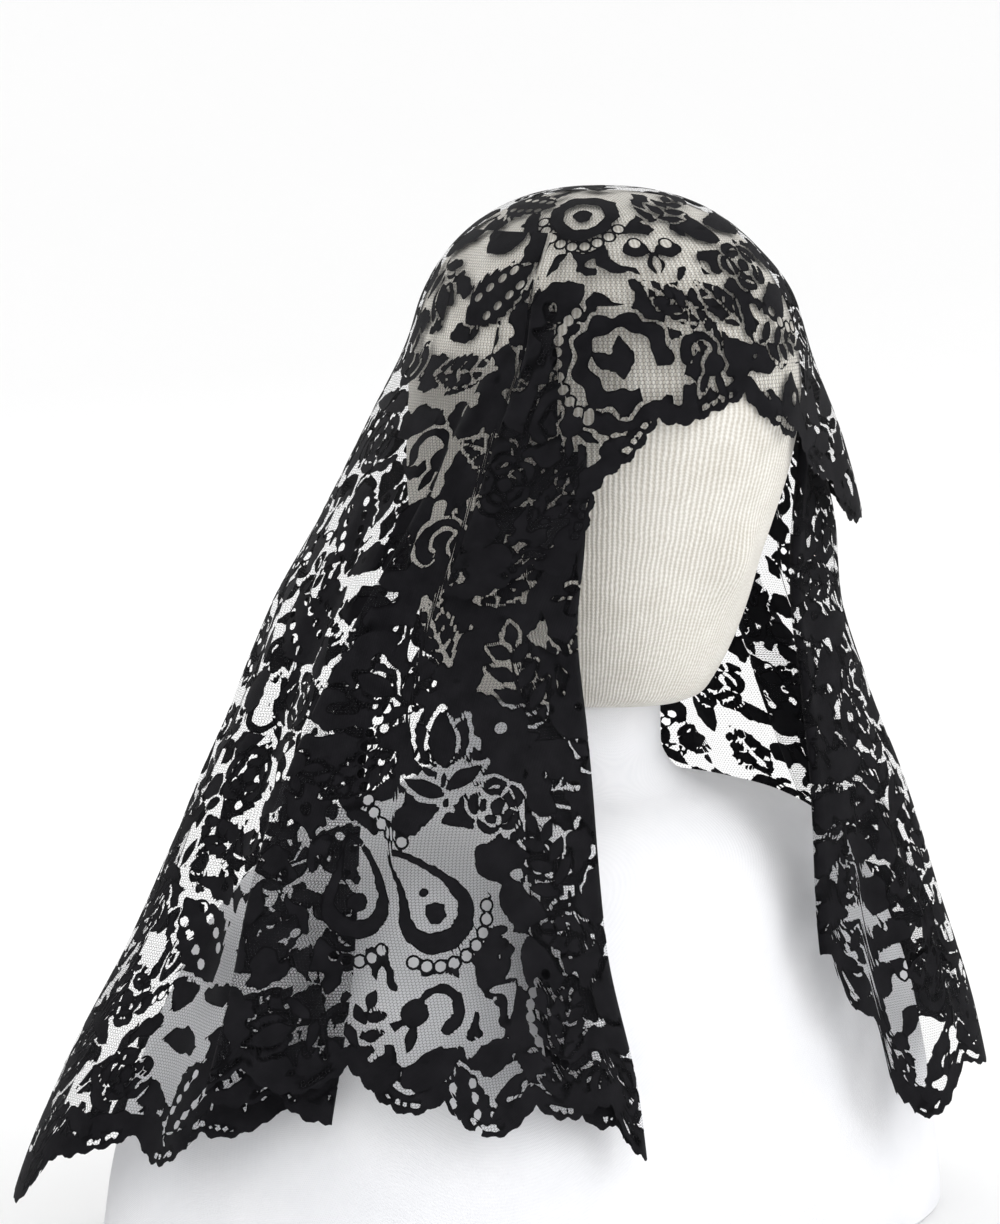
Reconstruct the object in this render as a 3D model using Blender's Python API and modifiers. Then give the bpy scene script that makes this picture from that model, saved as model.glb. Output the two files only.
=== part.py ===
"""A black lace mantilla over a plain head-and-shoulders display form.

Metres, +Z up. The form looks along -Y and stands on the plane z = 0. Angles round the upright
axis are in degrees, 0 at the face, positive towards the form's own right side (-X).
"""

import math

import bmesh
import bpy
import numpy as np
from mathutils import Vector
from mathutils.geometry import delaunay_2d_cdt

# Driving sizes
FORM_HEIGHT = 0.4965
SEAM_GAP = 0.0008
LACE_THICKNESS = 0.0012
HEAD_CLEARANCE = 0.0014

# The dome of the head, a superellipsoid above its widest level
DOME_LEVEL = 0.400
DOME_HALF_WIDTH = 0.077
DOME_HALF_DEPTH = 0.097
DOME_CENTRE_Y = 0.001
DOME_POWER = 2.3
DOME_HEIGHT = FORM_HEIGHT - DOME_LEVEL
LACE_LIFT = HEAD_CLEARANCE + LACE_THICKNESS / 2

# Columns: height, centre_y, half_width, half_depth, power of the superellipse
HEAD_SECTIONS = (
    (0.400, 0.001, 0.0770, 0.0970, 2.00),
    (0.372, 0.005, 0.0765, 0.0940, 2.00),
    (0.346, 0.009, 0.0740, 0.0885, 2.00),
    (0.331, 0.012, 0.0715, 0.0860, 2.00),
    (0.310, 0.014, 0.0670, 0.0810, 2.05),
    (0.291, 0.016, 0.0600, 0.0755, 2.10),
    (0.276, 0.017, 0.0520, 0.0690, 2.10),
    (0.268, 0.018, 0.0465, 0.0640, 2.10),
    (0.2645, 0.019, 0.0400, 0.0570, 2.10),
)
BUST_SECTIONS = (
    (0.2642, 0.030, 0.0480, 0.0500, 2.00),
    (0.2420, 0.030, 0.0485, 0.0505, 2.00),
    (0.2320, 0.030, 0.0530, 0.0540, 2.05),
    (0.2225, 0.031, 0.0700, 0.0620, 2.20),
    (0.2160, 0.031, 0.1010, 0.0710, 2.40),
    (0.2070, 0.032, 0.1320, 0.0810, 2.60),
    (0.1920, 0.032, 0.1600, 0.0910, 2.70),
    (0.1690, 0.033, 0.1840, 0.1000, 2.80),
    (0.1400, 0.035, 0.2010, 0.1080, 2.90),
    (0.1000, 0.038, 0.2150, 0.1180, 3.00),
    (0.0500, 0.040, 0.2260, 0.1260, 3.00),
    (0.0030, 0.040, 0.2300, 0.1300, 3.00),
    (0.0000, 0.040, 0.2280, 0.1280, 3.00),
)
# The lace's own hang, below the level where it leaves the head
LACE_SECTIONS = (
    (0.394, 0.0065, 0.0960, 0.1060, 2.00),
    (0.349, 0.0137, 0.1180, 0.1190, 2.00),
    (0.300, 0.0270, 0.1380, 0.1310, 2.00),
    (0.264, 0.0300, 0.1590, 0.1360, 2.00),
    (0.223, 0.0330, 0.1825, 0.1400, 2.15),
    (0.173, 0.0360, 0.2085, 0.1450, 2.30),
    (0.107, 0.0440, 0.2415, 0.1620, 2.45),
    (0.060, 0.0500, 0.2575, 0.1730, 2.50),
    (0.020, 0.0530, 0.2680, 0.1800, 2.50),
)
DOME_SECTION_HEIGHTS = (0.4935, 0.488, 0.480, 0.470, 0.458, 0.446, 0.432)

# Folds of the falls. Columns: angle, half_width in degrees, lap in degrees and depth in metres of a
# laid pleat, bump in metres of a soft fold, height where it starts, height where it is full
FALL_FOLDS = (
    (56.0, 12.0, 0.0, 0.000, -0.006, 0.300, 0.120),
    (75.0, 7.0, 0.0, 0.000, 0.004, 0.300, 0.150),
    (90.0, 7.5, 8.5, 0.0130, 0.004, 0.430, 0.180),
    (105.5, 6.5, 0.0, 0.000, -0.008, 0.420, 0.200),
    (117.0, 7.0, 0.0, 0.000, 0.006, 0.400, 0.120),
    (129.0, 7.0, 0.0, 0.000, -0.010, 0.360, 0.100),
    (141.0, 9.0, 0.0, 0.000, 0.006, 0.400, 0.100),
    (158.0, 9.0, 1.9, 0.0070, -0.004, 0.400, 0.120),
    (176.0, 9.0, 0.0, 0.000, 0.008, 0.400, 0.120),
    (193.0, 8.0, 0.0, 0.000, -0.012, 0.380, 0.110),
    (211.0, 9.0, 1.9, 0.0075, 0.003, 0.400, 0.120),
    (229.0, 9.0, 0.0, 0.000, -0.010, 0.380, 0.120),
    (246.0, 8.0, 0.0, 0.000, 0.008, 0.400, 0.120),
    (254.5, 6.5, 0.0, 0.000, -0.008, 0.420, 0.200),
    (270.0, 7.5, 8.0, 0.0130, 0.004, 0.430, 0.180),
    (288.0, 9.0, 0.0, 0.000, -0.007, 0.360, 0.130),
    (309.0, 8.0, 0.0, 0.000, 0.008, 0.330, 0.130),
    (324.0, 7.0, 0.0, 0.000, -0.006, 0.300, 0.130),
)
# Front edges of the falls. Columns: height, near_angle, far_angle
EDGE_LINES = (
    (0.470, 56.0, 329.0),
    (0.400, 53.0, 330.0),
    (0.314, 47.5, 333.0),
    (0.255, 44.0, 334.5),
    (0.173, 41.6, 338.0),
    (0.110, 36.0, 341.0),
    (0.040, 32.0, 342.0),
)
# How far the cloth swings forward by its lower edge. Columns: angle, degrees
FORWARD_SWING = (
    (25.0, 0.0),
    (60.0, -6.0),
    (90.0, -12.5),
    (120.0, -9.0),
    (150.0, -3.0),
    (180.0, 0.0),
    (210.0, 3.0),
    (240.0, 8.0),
    (270.0, 11.0),
    (300.0, 5.0),
    (338.0, 0.0),
)
SWING_START = 0.360
SWING_FULL = 0.080
NEAR_ANGLE = 40.0
FAR_ANGLE = 338.0
EDGE_REACH = 34.0
EDGE_TUCK = 0.019
NEAR_TURN = 15.0
FAR_TURN = 12.0
TURN_DEPTH = 0.0050
CREASE_WIDTH = 1.5
# Lower edge of the falls. Columns: angle, height
HEM_LINE = (
    (NEAR_ANGLE - NEAR_TURN, 0.120),
    (40.0, 0.084),
    (43.0, 0.090),
    (49.0, 0.109),
    (60.0, 0.106),
    (70.0, 0.115),
    (80.0, 0.127),
    (86.0, 0.126),
    (91.0, 0.114),
    (95.0, 0.110),
    (98.0, 0.094),
    (104.0, 0.087),
    (110.0, 0.088),
    (114.0, 0.075),
    (118.0, 0.058),
    (128.0, 0.050),
    (142.0, 0.046),
    (165.0, 0.053),
    (190.0, 0.056),
    (215.0, 0.052),
    (240.0, 0.062),
    (265.0, 0.078),
    (285.0, 0.084),
    (300.0, 0.089),
    (310.0, 0.086),
    (318.0, 0.072),
    (322.0, 0.065),
    (325.0, 0.085),
    (328.0, 0.117),
    (333.0, 0.129),
    (FAR_ANGLE, 0.150),
    (FAR_ANGLE + FAR_TURN, 0.172),
)
FALL_TOP = 0.4790
HIDDEN_TOP = 0.4520
EDGE_TOP = 0.3850

# The front of the mantilla lies over the falls from one side pleat to the other.
SIDE_PLEAT = 76.0
PLEAT_TURN = 9.0
PLEAT_DEPTH = 0.0030
PLEAT_LIFT = 0.0052
FLARE_START = 12.0
FLARE_FULL = 52.0
FAR_FLARE = 0.011
# Lower edge of the front. Columns: angle, height
BORDER_LINE = (
    (-85.0, 0.362),
    (-76.0, 0.350),
    (-60.0, 0.347),
    (-45.0, 0.348),
    (-38.0, 0.351),
    (-32.0, 0.361),
    (-26.0, 0.373),
    (-15.0, 0.384),
    (-6.0, 0.392),
    (0.0, 0.400),
    (8.0, 0.403),
    (20.0, 0.407),
    (32.0, 0.399),
    (42.0, 0.388),
    (48.0, 0.379),
    (50.5, 0.355),
    (53.0, 0.341),
    (60.0, 0.334),
    (70.0, 0.329),
    (76.0, 0.327),
    (85.0, 0.345),
)
SCALLOP_PITCH = 0.046
SCALLOP_DEPTH = 0.0055

# Round gaps in the lace, in chains along arcs. Columns: fall (1) or front (0), angle and height of
# the arc's centre, radius of the arc in metres, first and last bearing in degrees from straight
# down, number of gaps, gap radius
EYELET_CHAINS = (
    (0, 47.5, 0.4274, 0.0271, 21.0, 139.0, 11, 0.0024),
    (0, 62.9, 0.4865, 0.0198, -63.0, 74.0, 9, 0.0024),
    (0, 33.0, 0.4750, 0.0070, -90.0, 90.0, 2, 0.0026),
    (0, -12.0, 0.4520, 0.0160, -60.0, 60.0, 6, 0.0024),
    (1, 69.1, 0.2535, 0.0399, 28.0, 127.0, 12, 0.0024),
    (1, 82.5, 0.1880, 0.0165, -50.0, 32.0, 5, 0.0024),
    (1, 70.1, 0.1924, 0.0223, -99.0, 27.0, 9, 0.0024),
    (1, 49.6, 0.1450, 0.0221, 25.0, 154.0, 10, 0.0024),
    (1, 134.0, 0.1900, 0.0300, -60.0, 60.0, 11, 0.0024),
    (1, 150.0, 0.3400, 0.0240, -70.0, 70.0, 10, 0.0024),
    (1, 180.0, 0.2200, 0.0360, -80.0, 80.0, 17, 0.0024),
    (1, 205.0, 0.3400, 0.0240, -70.0, 70.0, 10, 0.0024),
    (1, 152.0, 0.1300, 0.0220, -70.0, 70.0, 9, 0.0024),
    (1, 213.0, 0.1300, 0.0220, -70.0, 70.0, 9, 0.0024),
    (1, 240.0, 0.2400, 0.0260, -80.0, 60.0, 11, 0.0024),
    (1, 250.0, 0.1300, 0.0180, -70.0, 70.0, 8, 0.0024),
    (1, 288.0, 0.2700, 0.0200, -80.0, 60.0, 9, 0.0024),
    (1, 316.4, 0.1211, 0.0202, 121.0, 240.0, 8, 0.0024),
)
EYELET_SIDES = 6

# Lay angles where the falls' top comes out from under the front
FRONT_SIDES = (
    SIDE_PLEAT + 1.3,
    SIDE_PLEAT + 2.5,
    360.0 - SIDE_PLEAT - 2.5,
    360.0 - SIDE_PLEAT - 1.3,
)
# The falls laid flat: metres for a degree of lay, and for a metre of height
FALL_PLANE = (0.0026, 1.0)
# The front laid flat: metres down from the crown for a reach of 1
FRONT_LENGTH = 0.146

# Fineness of the walls and of the form
WALL_ROW_STEP = 0.027
WALL_COLUMN_STEP = 6.0
PLEAT_FOLDS = (0.23, 0.305, 0.385, 0.46, 0.70, 1.0)
FRONT_STEP = 0.0155
EDGE_STEP = 0.009
FORM_SIDES = 40

JERSEY = ("jersey", (0.72, 0.68, 0.60, 1.0), 0.9)
WHITE_COVER = ("white_cover", (0.88, 0.88, 0.90, 1.0), 0.8)
BLACK_LACE = ("black_lace", (0.012, 0.012, 0.014, 1.0), 0.75)


def monotone_curve(keys, values, at):
    """Values at the given keys, on a smooth curve that never overshoots its rows."""
    keys = np.asarray(keys, float)
    values = np.asarray(values, float)
    if keys[0] > keys[-1]:
        keys, values = keys[::-1], values[::-1]
    step = np.diff(keys)
    slope = np.diff(values) / step
    tangent = np.zeros_like(values)
    inner = slope[:-1] * slope[1:] > 0
    weight = step[:-1] + step[1:]
    first = (2 * step[1:] + step[:-1]) / (3 * weight)
    with np.errstate(divide="ignore", invalid="ignore"):
        harmonic = 1 / (first / slope[:-1] + (1 - first) / slope[1:])
    tangent[1:-1] = np.where(inner, harmonic, 0.0)
    tangent[0], tangent[-1] = slope[0], slope[-1]
    at = np.clip(np.asarray(at, float), keys[0], keys[-1])
    i = np.clip(np.searchsorted(keys, at) - 1, 0, len(step) - 1)
    t = (at - keys[i]) / step[i]
    return (
        (1 + 2 * t) * (1 - t) ** 2 * values[i]
        + t * (1 - t) ** 2 * step[i] * tangent[i]
        + t**2 * (3 - 2 * t) * values[i + 1]
        - t**2 * (1 - t) * step[i] * tangent[i + 1]
    )


def ease(value):
    """0 below 0, 1 above 1, and a smooth step between."""
    t = np.clip(value, 0.0, 1.0)
    return t * t * (3 - 2 * t)


def dome_scale(height, lift):
    """How wide the dome is at this height, as a share of its widest, for a skin lifted off it."""
    t = np.clip((height - DOME_LEVEL) / (DOME_HEIGHT + lift), 0.0, 1.0)
    return (1 - t**DOME_POWER) ** (1 / DOME_POWER)


def superellipse_radius(angle, half_width, half_depth, power):
    """Distance from the centre to the superellipse in this direction, in degrees from the front."""
    turn = np.radians(angle)
    across = np.abs(np.sin(turn)) / half_width
    along = np.abs(np.cos(turn)) / half_depth
    return (across**power + along**power) ** (-1 / power)


def lace_section_rows():
    """The sections of the lace's hang: those on the dome first, then the table's."""
    rows = []
    for height in DOME_SECTION_HEIGHTS:
        scale = dome_scale(height, LACE_LIFT)
        width = (DOME_HALF_WIDTH + LACE_LIFT) * scale
        depth = (DOME_HALF_DEPTH + LACE_LIFT) * scale
        rows.append((height, DOME_CENTRE_Y, width, depth, 2.0))
    return np.array(rows + list(LACE_SECTIONS))


LACE_ROWS = lace_section_rows()


def hang(angle, height):
    """Centre and radius of the lace's plain hang, before its folds."""
    centre, width, depth, power = (
        monotone_curve(LACE_ROWS[:, 0], LACE_ROWS[:, k], height) for k in (1, 2, 3, 4)
    )
    return centre, superellipse_radius(angle, width, depth, power)


def at_bearing(angle, height, centre, radius):
    """The point at this bearing and distance from an upright axis through (0, centre)."""
    turn = np.radians(angle)
    return np.stack([-radius * np.sin(turn), centre - radius * np.cos(turn), height + 0 * turn], -1)


def fall_point(lay, height):
    """A point of the falls. lay is the angle at which the cloth would lie without its folds."""
    lay = np.asarray(lay, float)
    height = np.asarray(height, float) + 0 * lay
    shown = np.where(lay < NEAR_ANGLE, 2 * NEAR_ANGLE - lay, lay)
    shown = np.where(lay > FAR_ANGLE, 2 * FAR_ANGLE - lay, shown)
    edge_keys = [row[0] for row in EDGE_LINES]
    near = monotone_curve(edge_keys, [row[1] for row in EDGE_LINES], height)
    far = monotone_curve(edge_keys, [row[2] for row in EDGE_LINES], height)
    near_share = 1 - ease((shown - NEAR_ANGLE) / EDGE_REACH)
    far_share = 1 - ease((FAR_ANGLE - shown) / EDGE_REACH)
    angle = shown + (near - NEAR_ANGLE) * near_share + (far - FAR_ANGLE) * far_share
    swing = monotone_curve([row[0] for row in FORWARD_SWING], [row[1] for row in FORWARD_SWING], shown)
    angle = angle + swing * ease((SWING_START - height) / (SWING_START - SWING_FULL))
    offset = -EDGE_TUCK * (near_share**2 + far_share**2) * ease((0.42 - height) / 0.09)
    for centre, half, lap, depth, bump, start, full in FALL_FOLDS:
        t = np.clip((shown - centre) / half, -1.0, 1.0)
        grown = ease((start - height) / (start - full))
        wave = -np.sin(math.pi * t)
        angle = angle + 1.3 * lap * wave * (1 - t**2) * grown
        offset = offset + depth * wave * (1 - t**4) * np.sqrt(grown)
        offset = offset + bump * (1 - t**2) ** 2 * grown
    past = np.maximum(NEAR_ANGLE - lay, lay - FAR_ANGLE)
    offset = offset - TURN_DEPTH * ease((past / CREASE_WIDTH + 1) / 2)
    centre_y, radius = hang(angle, height)
    return at_bearing(angle, height, centre_y, radius + offset)


def front_height(reach):
    """Height of the front at this reach, its share of the way down the dome, over 1 below it."""
    turn = np.radians(90.0 * np.clip(reach, 0.0, 1.0))
    dome = DOME_LEVEL + (DOME_HEIGHT + LACE_LIFT) * np.cos(turn) ** (2 / DOME_POWER)
    return dome - np.clip(reach - 1.0, 0.0, None) * DOME_HEIGHT


def front_point(bearing, reach):
    """A point of the front: the dome of the crown, and the flaps that stand over the falls."""
    bearing = np.asarray(bearing, float)
    side = np.abs(bearing)
    turned = np.clip(side - SIDE_PLEAT, 0.0, None)
    height = front_height(reach)
    pleat = ease((FALL_TOP - height) / 0.030)
    angle = np.sign(bearing) * (side - 2 * turned * pleat)
    turn = np.radians(90.0 * np.clip(reach, 0.0, 1.0))
    scale = np.sin(turn) ** (2 / DOME_POWER)
    on_head = superellipse_radius(
        angle, DOME_HALF_WIDTH + LACE_LIFT, DOME_HALF_DEPTH + LACE_LIFT, 2.0
    )
    crown = at_bearing(angle, height, DOME_CENTRE_Y, on_head * scale)
    centre_y, hung = hang(angle, np.minimum(height, LACE_ROWS[0, 0]))
    tucked = ease(((side - SIDE_PLEAT) / CREASE_WIDTH + 1) / 2)
    lift = (PLEAT_LIFT - PLEAT_DEPTH * tucked) * pleat
    lift = lift + FAR_FLARE * ease((-bearing - 32.0) / 26.0) * ease((0.455 - height) / 0.075)
    flap = at_bearing(angle, height, centre_y, hung + lift)
    near_share = ease((bearing - FLARE_START) / (FLARE_FULL - FLARE_START))
    far_share = ease((-bearing - FLARE_START) / (FLARE_FULL - 8.0 - FLARE_START))
    share = (np.maximum(near_share, far_share) * ease((FALL_TOP + 0.006 - height) / 0.02))[..., None]
    return crown * (1 - share) + flap * share


def reach_at(height):
    """The reach at which the front is at this height."""
    height = np.asarray(height, float)
    t = np.clip((height - DOME_LEVEL) / (DOME_HEIGHT + LACE_LIFT), 0.0, 1.0)
    on_dome = np.degrees(np.arccos(t ** (DOME_POWER / 2))) / 90.0
    return np.where(height < DOME_LEVEL, 1.0 + (DOME_LEVEL - height) / DOME_HEIGHT, on_dome)


def scallop(distance):
    """How far the edge stands out at this distance along it: round scallops with sharp notches."""
    return SCALLOP_DEPTH * (2 * np.abs(np.sin(math.pi * distance / SCALLOP_PITCH)) ** 0.8 - 1)


def even_line(point, start, stop, step):
    """Values from start to stop at which a line on the surface has even steps of this length."""
    fine = np.linspace(start, stop, 400)
    along = np.concatenate([[0], np.cumsum(np.linalg.norm(np.diff(point(fine), axis=0), axis=1))])
    count = max(2, int(round(along[-1] / step)))
    even = np.linspace(0, along[-1], count + 1)
    return np.interp(even, along, fine), even


def with_creases(values, creases):
    """The values with the creases among them, and without those that would crowd a crease."""
    crowding = np.abs(np.gradient(values)) * 0.4
    inner = [c for c in creases if values.min() < c < values.max()]
    clear = np.ones(len(values), bool)
    for crease in inner:
        clear[1:-1] &= np.abs(values[1:-1] - crease) > crowding[1:-1]
    return np.sort(np.concatenate([values[clear], inner]))


def scalloped_hem(start, stop):
    """The falls' lower edge from one lay angle to another, as rows of lay angle and height."""
    keys, heights = zip(*HEM_LINE)

    def on_hem(lay):
        return fall_point(lay, monotone_curve(keys, heights, lay))

    lays = with_creases(even_line(on_hem, start, stop, EDGE_STEP)[0], pleat_columns())
    all_lays, along = even_line(on_hem, keys[0], keys[-1], EDGE_STEP / 4)
    distance = np.interp(lays, all_lays, along)
    return np.stack([lays, monotone_curve(keys, heights, lays) - scallop(distance)], -1)


def front_creases():
    """Bearings of the front's creases, round each side pleat's fold."""
    steps = (-CREASE_WIDTH, 0.0, CREASE_WIDTH)
    return [sign * (SIDE_PLEAT + step) for sign in (-1, 1) for step in steps]


def scalloped_border():
    """The front's lower edge from the far pleat to the near one, as rows of bearing and reach."""
    keys, heights = zip(*BORDER_LINE)

    def on_border(bearing):
        return front_point(bearing, reach_at(monotone_curve(keys, heights, bearing)))

    even, along = even_line(on_border, keys[0], keys[-1], EDGE_STEP)
    bearings = with_creases(even, front_creases())
    lower = monotone_curve(keys, heights, bearings) - scallop(np.interp(bearings, even, along))
    return np.stack([bearings, reach_at(lower)], -1)


def lay_along(lay, height, distances):
    """Lay angles these distances round the fall from another, at one height."""
    fine = np.linspace(lay - 20.0, lay + 20.0, 81)
    steps = np.linalg.norm(np.diff(fall_point(fine, height), axis=0), axis=1)
    along = np.concatenate([[0], np.cumsum(steps)])
    return np.interp(np.interp(lay, fine, along) + distances, along, fine)


def places_on_fall(lay, height, offsets):
    """Lay angles and heights of the places this far across and down the cloth from one place."""
    step = fall_point(lay, height - 0.002) - fall_point(lay, height)
    down = 0.002 / np.linalg.norm(step)
    heights = height - offsets[:, 1] * down
    lays = [lay_along(lay, h, x) for h, x in zip(heights, offsets[:, 0])]
    return np.stack([lays, heights], -1)


def places_on_front(bearing, reach, offsets):
    """Bearings and reaches of the places this far across and down the cloth from one place."""
    middle = front_point(bearing, reach)
    across = 0.5 / np.linalg.norm(front_point(bearing + 0.5, reach) - middle)
    down = 0.02 / np.linalg.norm(front_point(bearing, reach + 0.02) - middle)
    return np.array([bearing, reach]) + offsets * np.array([across, down])


def eyelet_loops(on_fall):
    """Rings of points for the round gaps, in the surface's own two coordinates."""
    places = places_on_fall if on_fall else places_on_front
    ring = np.radians(np.arange(EYELET_SIDES) * 360.0 / EYELET_SIDES)
    ring = np.stack([np.sin(ring), np.cos(ring)], -1)
    loops = []
    for fall, angle, height, arc, first, last, count, gap in EYELET_CHAINS:
        if bool(fall) != on_fall:
            continue
        bearings = np.radians(np.linspace(first, last, count))
        start = height if on_fall else float(reach_at(height))
        for middle in places(angle, start, arc * np.stack([np.sin(bearings), np.cos(bearings)], -1)):
            loops.append(places(middle[0], middle[1], gap * ring))
    return loops


def inside(points, loop):
    """Which points lie inside the closed loop, by counting its crossings."""
    x, y = points[:, 0], points[:, 1]
    found = np.zeros(len(points), bool)
    for (x0, y0), (x1, y1) in zip(loop, np.roll(loop, -1, axis=0)):
        crosses = (y0 > y) != (y1 > y)
        with np.errstate(divide="ignore", invalid="ignore"):
            found ^= crosses & (x < (x1 - x0) * (y - y0) / (y1 - y0) + x0)
    return found


def far_from(points, others, clearance):
    """Which points are at least this far from every one of the others."""
    gap = np.linalg.norm(points[:, None, :] - others[None, :, :], axis=2)
    return gap.min(axis=1) > clearance


def flat_triangles(outline, holes, inner, spacing, lines=()):
    """Triangles over a flat outline with holes, through the inner points that have room.

    No triangle crosses one of the lines, which are rows of points.
    """
    holes = [h for h in holes if inside(h, outline).all()]
    edge_points = np.concatenate([outline, *holes])
    inner = inner[inside(inner, outline)]
    for hole in holes:
        middle = hole.mean(axis=0)
        reach = np.linalg.norm(hole - middle, axis=1).max() + spacing * 0.3
        inner = inner[np.linalg.norm(inner - middle, axis=1) > reach]
    inner = inner[far_from(inner, edge_points, spacing * 0.42)]
    points = np.concatenate([edge_points, inner])
    edges, first = [], 0
    for loop in [outline, *holes]:
        count = len(loop)
        edges += [(first + i, first + (i + 1) % count) for i in range(count)]
        first += count
    for line in lines:
        line = line[inside(line, outline)]
        free = far_from(line, edge_points, spacing * 0.42)
        for start, stop, clear in zip(line, line[1:], free & np.roll(free, -1)):
            if clear:
                edges.append((len(points), len(points) + 1))
                points = np.concatenate([points, [start, stop]])
    made = delaunay_2d_cdt([Vector(p) for p in points], edges, [list(range(len(outline)))], 1, 1e-6)
    found = np.array([tuple(p) for p in made[0]])
    triangles = np.array([f for f in made[2] if len(f) == 3])
    middles = found[triangles].mean(axis=1)
    keep = inside(middles, outline)
    for hole in holes:
        keep &= ~inside(middles, hole)
    return found, triangles[keep]


def add_wall(name, points, triangles, material, collection):
    """A cloth wall: the open surface through the points, with its thickness from Solidify."""
    mesh = bpy.data.meshes.new(name)
    mesh.from_pydata([tuple(p) for p in points], [], [tuple(int(i) for i in t) for t in triangles])
    shape = bmesh.new()
    shape.from_mesh(mesh)
    loose = [v for v in shape.verts if not v.link_faces]
    bmesh.ops.delete(shape, geom=loose, context="VERTS")
    middle = Vector((0.0, 0.03, 0.25))
    outward = sum((f.calc_center_median() - middle).dot(f.normal) * f.calc_area() for f in shape.faces)
    if outward < 0:
        bmesh.ops.reverse_faces(shape, faces=shape.faces[:])
    shape.to_mesh(mesh)
    shape.free()
    wall = bpy.data.objects.new(name, mesh)
    thickness = wall.modifiers.new("thickness", "SOLIDIFY")
    thickness.thickness = LACE_THICKNESS
    thickness.offset = 0.0
    mesh.materials.append(material)
    mesh.shade_smooth()
    collection.objects.link(wall)
    return wall


def pleat_columns():
    """Lay angles of the creases: across each laid pleat, and at each turned edge."""
    creases = (-CREASE_WIDTH, 0.0, CREASE_WIDTH)
    columns = [edge + step for edge in (NEAR_ANGLE, FAR_ANGLE) for step in creases]
    for centre, half, lap, *_ in FALL_FOLDS:
        if lap > half / 2:
            columns += [centre] + [centre + half * s * t for s in (-1, 1) for t in PLEAT_FOLDS]
    return columns


def fold_columns(start, stop):
    """Lay angles for all the wall's columns, with even steps between the creases."""
    creases = pleat_columns()
    columns = list(creases)
    for column in np.arange(start, stop, WALL_COLUMN_STEP):
        if min(abs(column - crease) for crease in creases) > WALL_COLUMN_STEP / 3:
            columns.append(column)
    kept = []
    for column in sorted(c for c in columns if start < c < stop):
        if not kept or column - kept[-1] > 0.5:
            kept.append(column)
    return np.array(kept)


def fall_top(lay):
    """Height of the falls' upper edge: at the seam with the crown, or hidden under the front."""
    inward = np.minimum(lay, 360.0 - lay)
    covered = ease((SIDE_PLEAT + 2.5 - inward) / 1.2)
    slope = EDGE_TOP + (HIDDEN_TOP - EDGE_TOP) * ease((inward - 44.0) / 26.0)
    hidden = np.where(lay > 318.0, EDGE_TOP, slope)
    return (FALL_TOP - SEAM_GAP) * (1 - covered) + hidden * covered


def fall_side(lay, inward):
    """One upright edge of a fall from the hem up, half a seam's gap inside the given lay angle."""
    bottom = monotone_curve([row[0] for row in HEM_LINE], [row[1] for row in HEM_LINE], lay)
    top = float(fall_top(np.array(lay)))
    heights = np.linspace(bottom, top, int(round((top - bottom) / WALL_ROW_STEP)) + 1)
    step = fall_point(lay + 0.05 * inward, heights) - fall_point(lay, heights)
    length = np.linalg.norm(step, axis=1)
    gap = SEAM_GAP / 2 * 0.05 / length if inward else 0.0 * length
    return np.stack([lay + inward * gap, heights], -1)


def add_fall(name, start, stop, material, collection):
    """One stretch of the falls, between two lay angles."""
    columns = fold_columns(start, stop)
    steps = [side for side in FRONT_SIDES if start < side < stop]
    shown = np.sort(np.concatenate([columns, steps]))
    top = np.stack([shown, fall_top(shown)], -1)[::-1]
    near_side = fall_side(start, 1.0 if start > NEAR_ANGLE else 0.0)
    far_side = fall_side(stop, -1.0 if stop < FAR_ANGLE else 0.0)
    hem = scalloped_hem(near_side[0, 0], far_side[0, 0])
    near_side[0], far_side[0] = hem[0], hem[-1]
    outline = np.concatenate([hem, far_side[1:], top, near_side[:0:-1]])
    rows = np.concatenate([np.arange(0.03, 0.39, WALL_ROW_STEP), np.arange(0.395, FALL_TOP, 0.0135)])
    grid = np.stack(np.meshgrid(columns, rows, indexing="ij"), -1).reshape(-1, 2)
    plane = np.array(FALL_PLANE)
    holes = [loop * plane for loop in eyelet_loops(True)]
    creases = [
        np.stack([np.full(len(rows), column), rows], -1) * plane
        for column in pleat_columns()
        if start < column < stop
    ]
    flat, triangles = flat_triangles(outline * plane, holes, grid * plane, 0.0052, creases)
    lay_height = flat / plane
    points = fall_point(lay_height[:, 0], lay_height[:, 1])
    return add_wall(name, points, triangles, material, collection)


def front_plane(bearing, reach):
    """The front laid flat: straight lines from the crown, at their length down the dome."""
    along = FRONT_LENGTH * reach
    turn = np.radians(bearing)
    return np.stack([along * np.sin(turn), along * np.cos(turn)], -1)


def turned_side(seam_reach, border_reach):
    """The front's hidden side edge, from the seam to the border: the strip turned under widens."""
    down = np.arange(seam_reach + 0.08, border_reach - 0.05, 0.11)
    wide = ease((FALL_TOP - 0.013 - front_height(down)) / 0.030)
    return front_plane(SIDE_PLEAT + PLEAT_TURN * wide, down)


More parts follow.
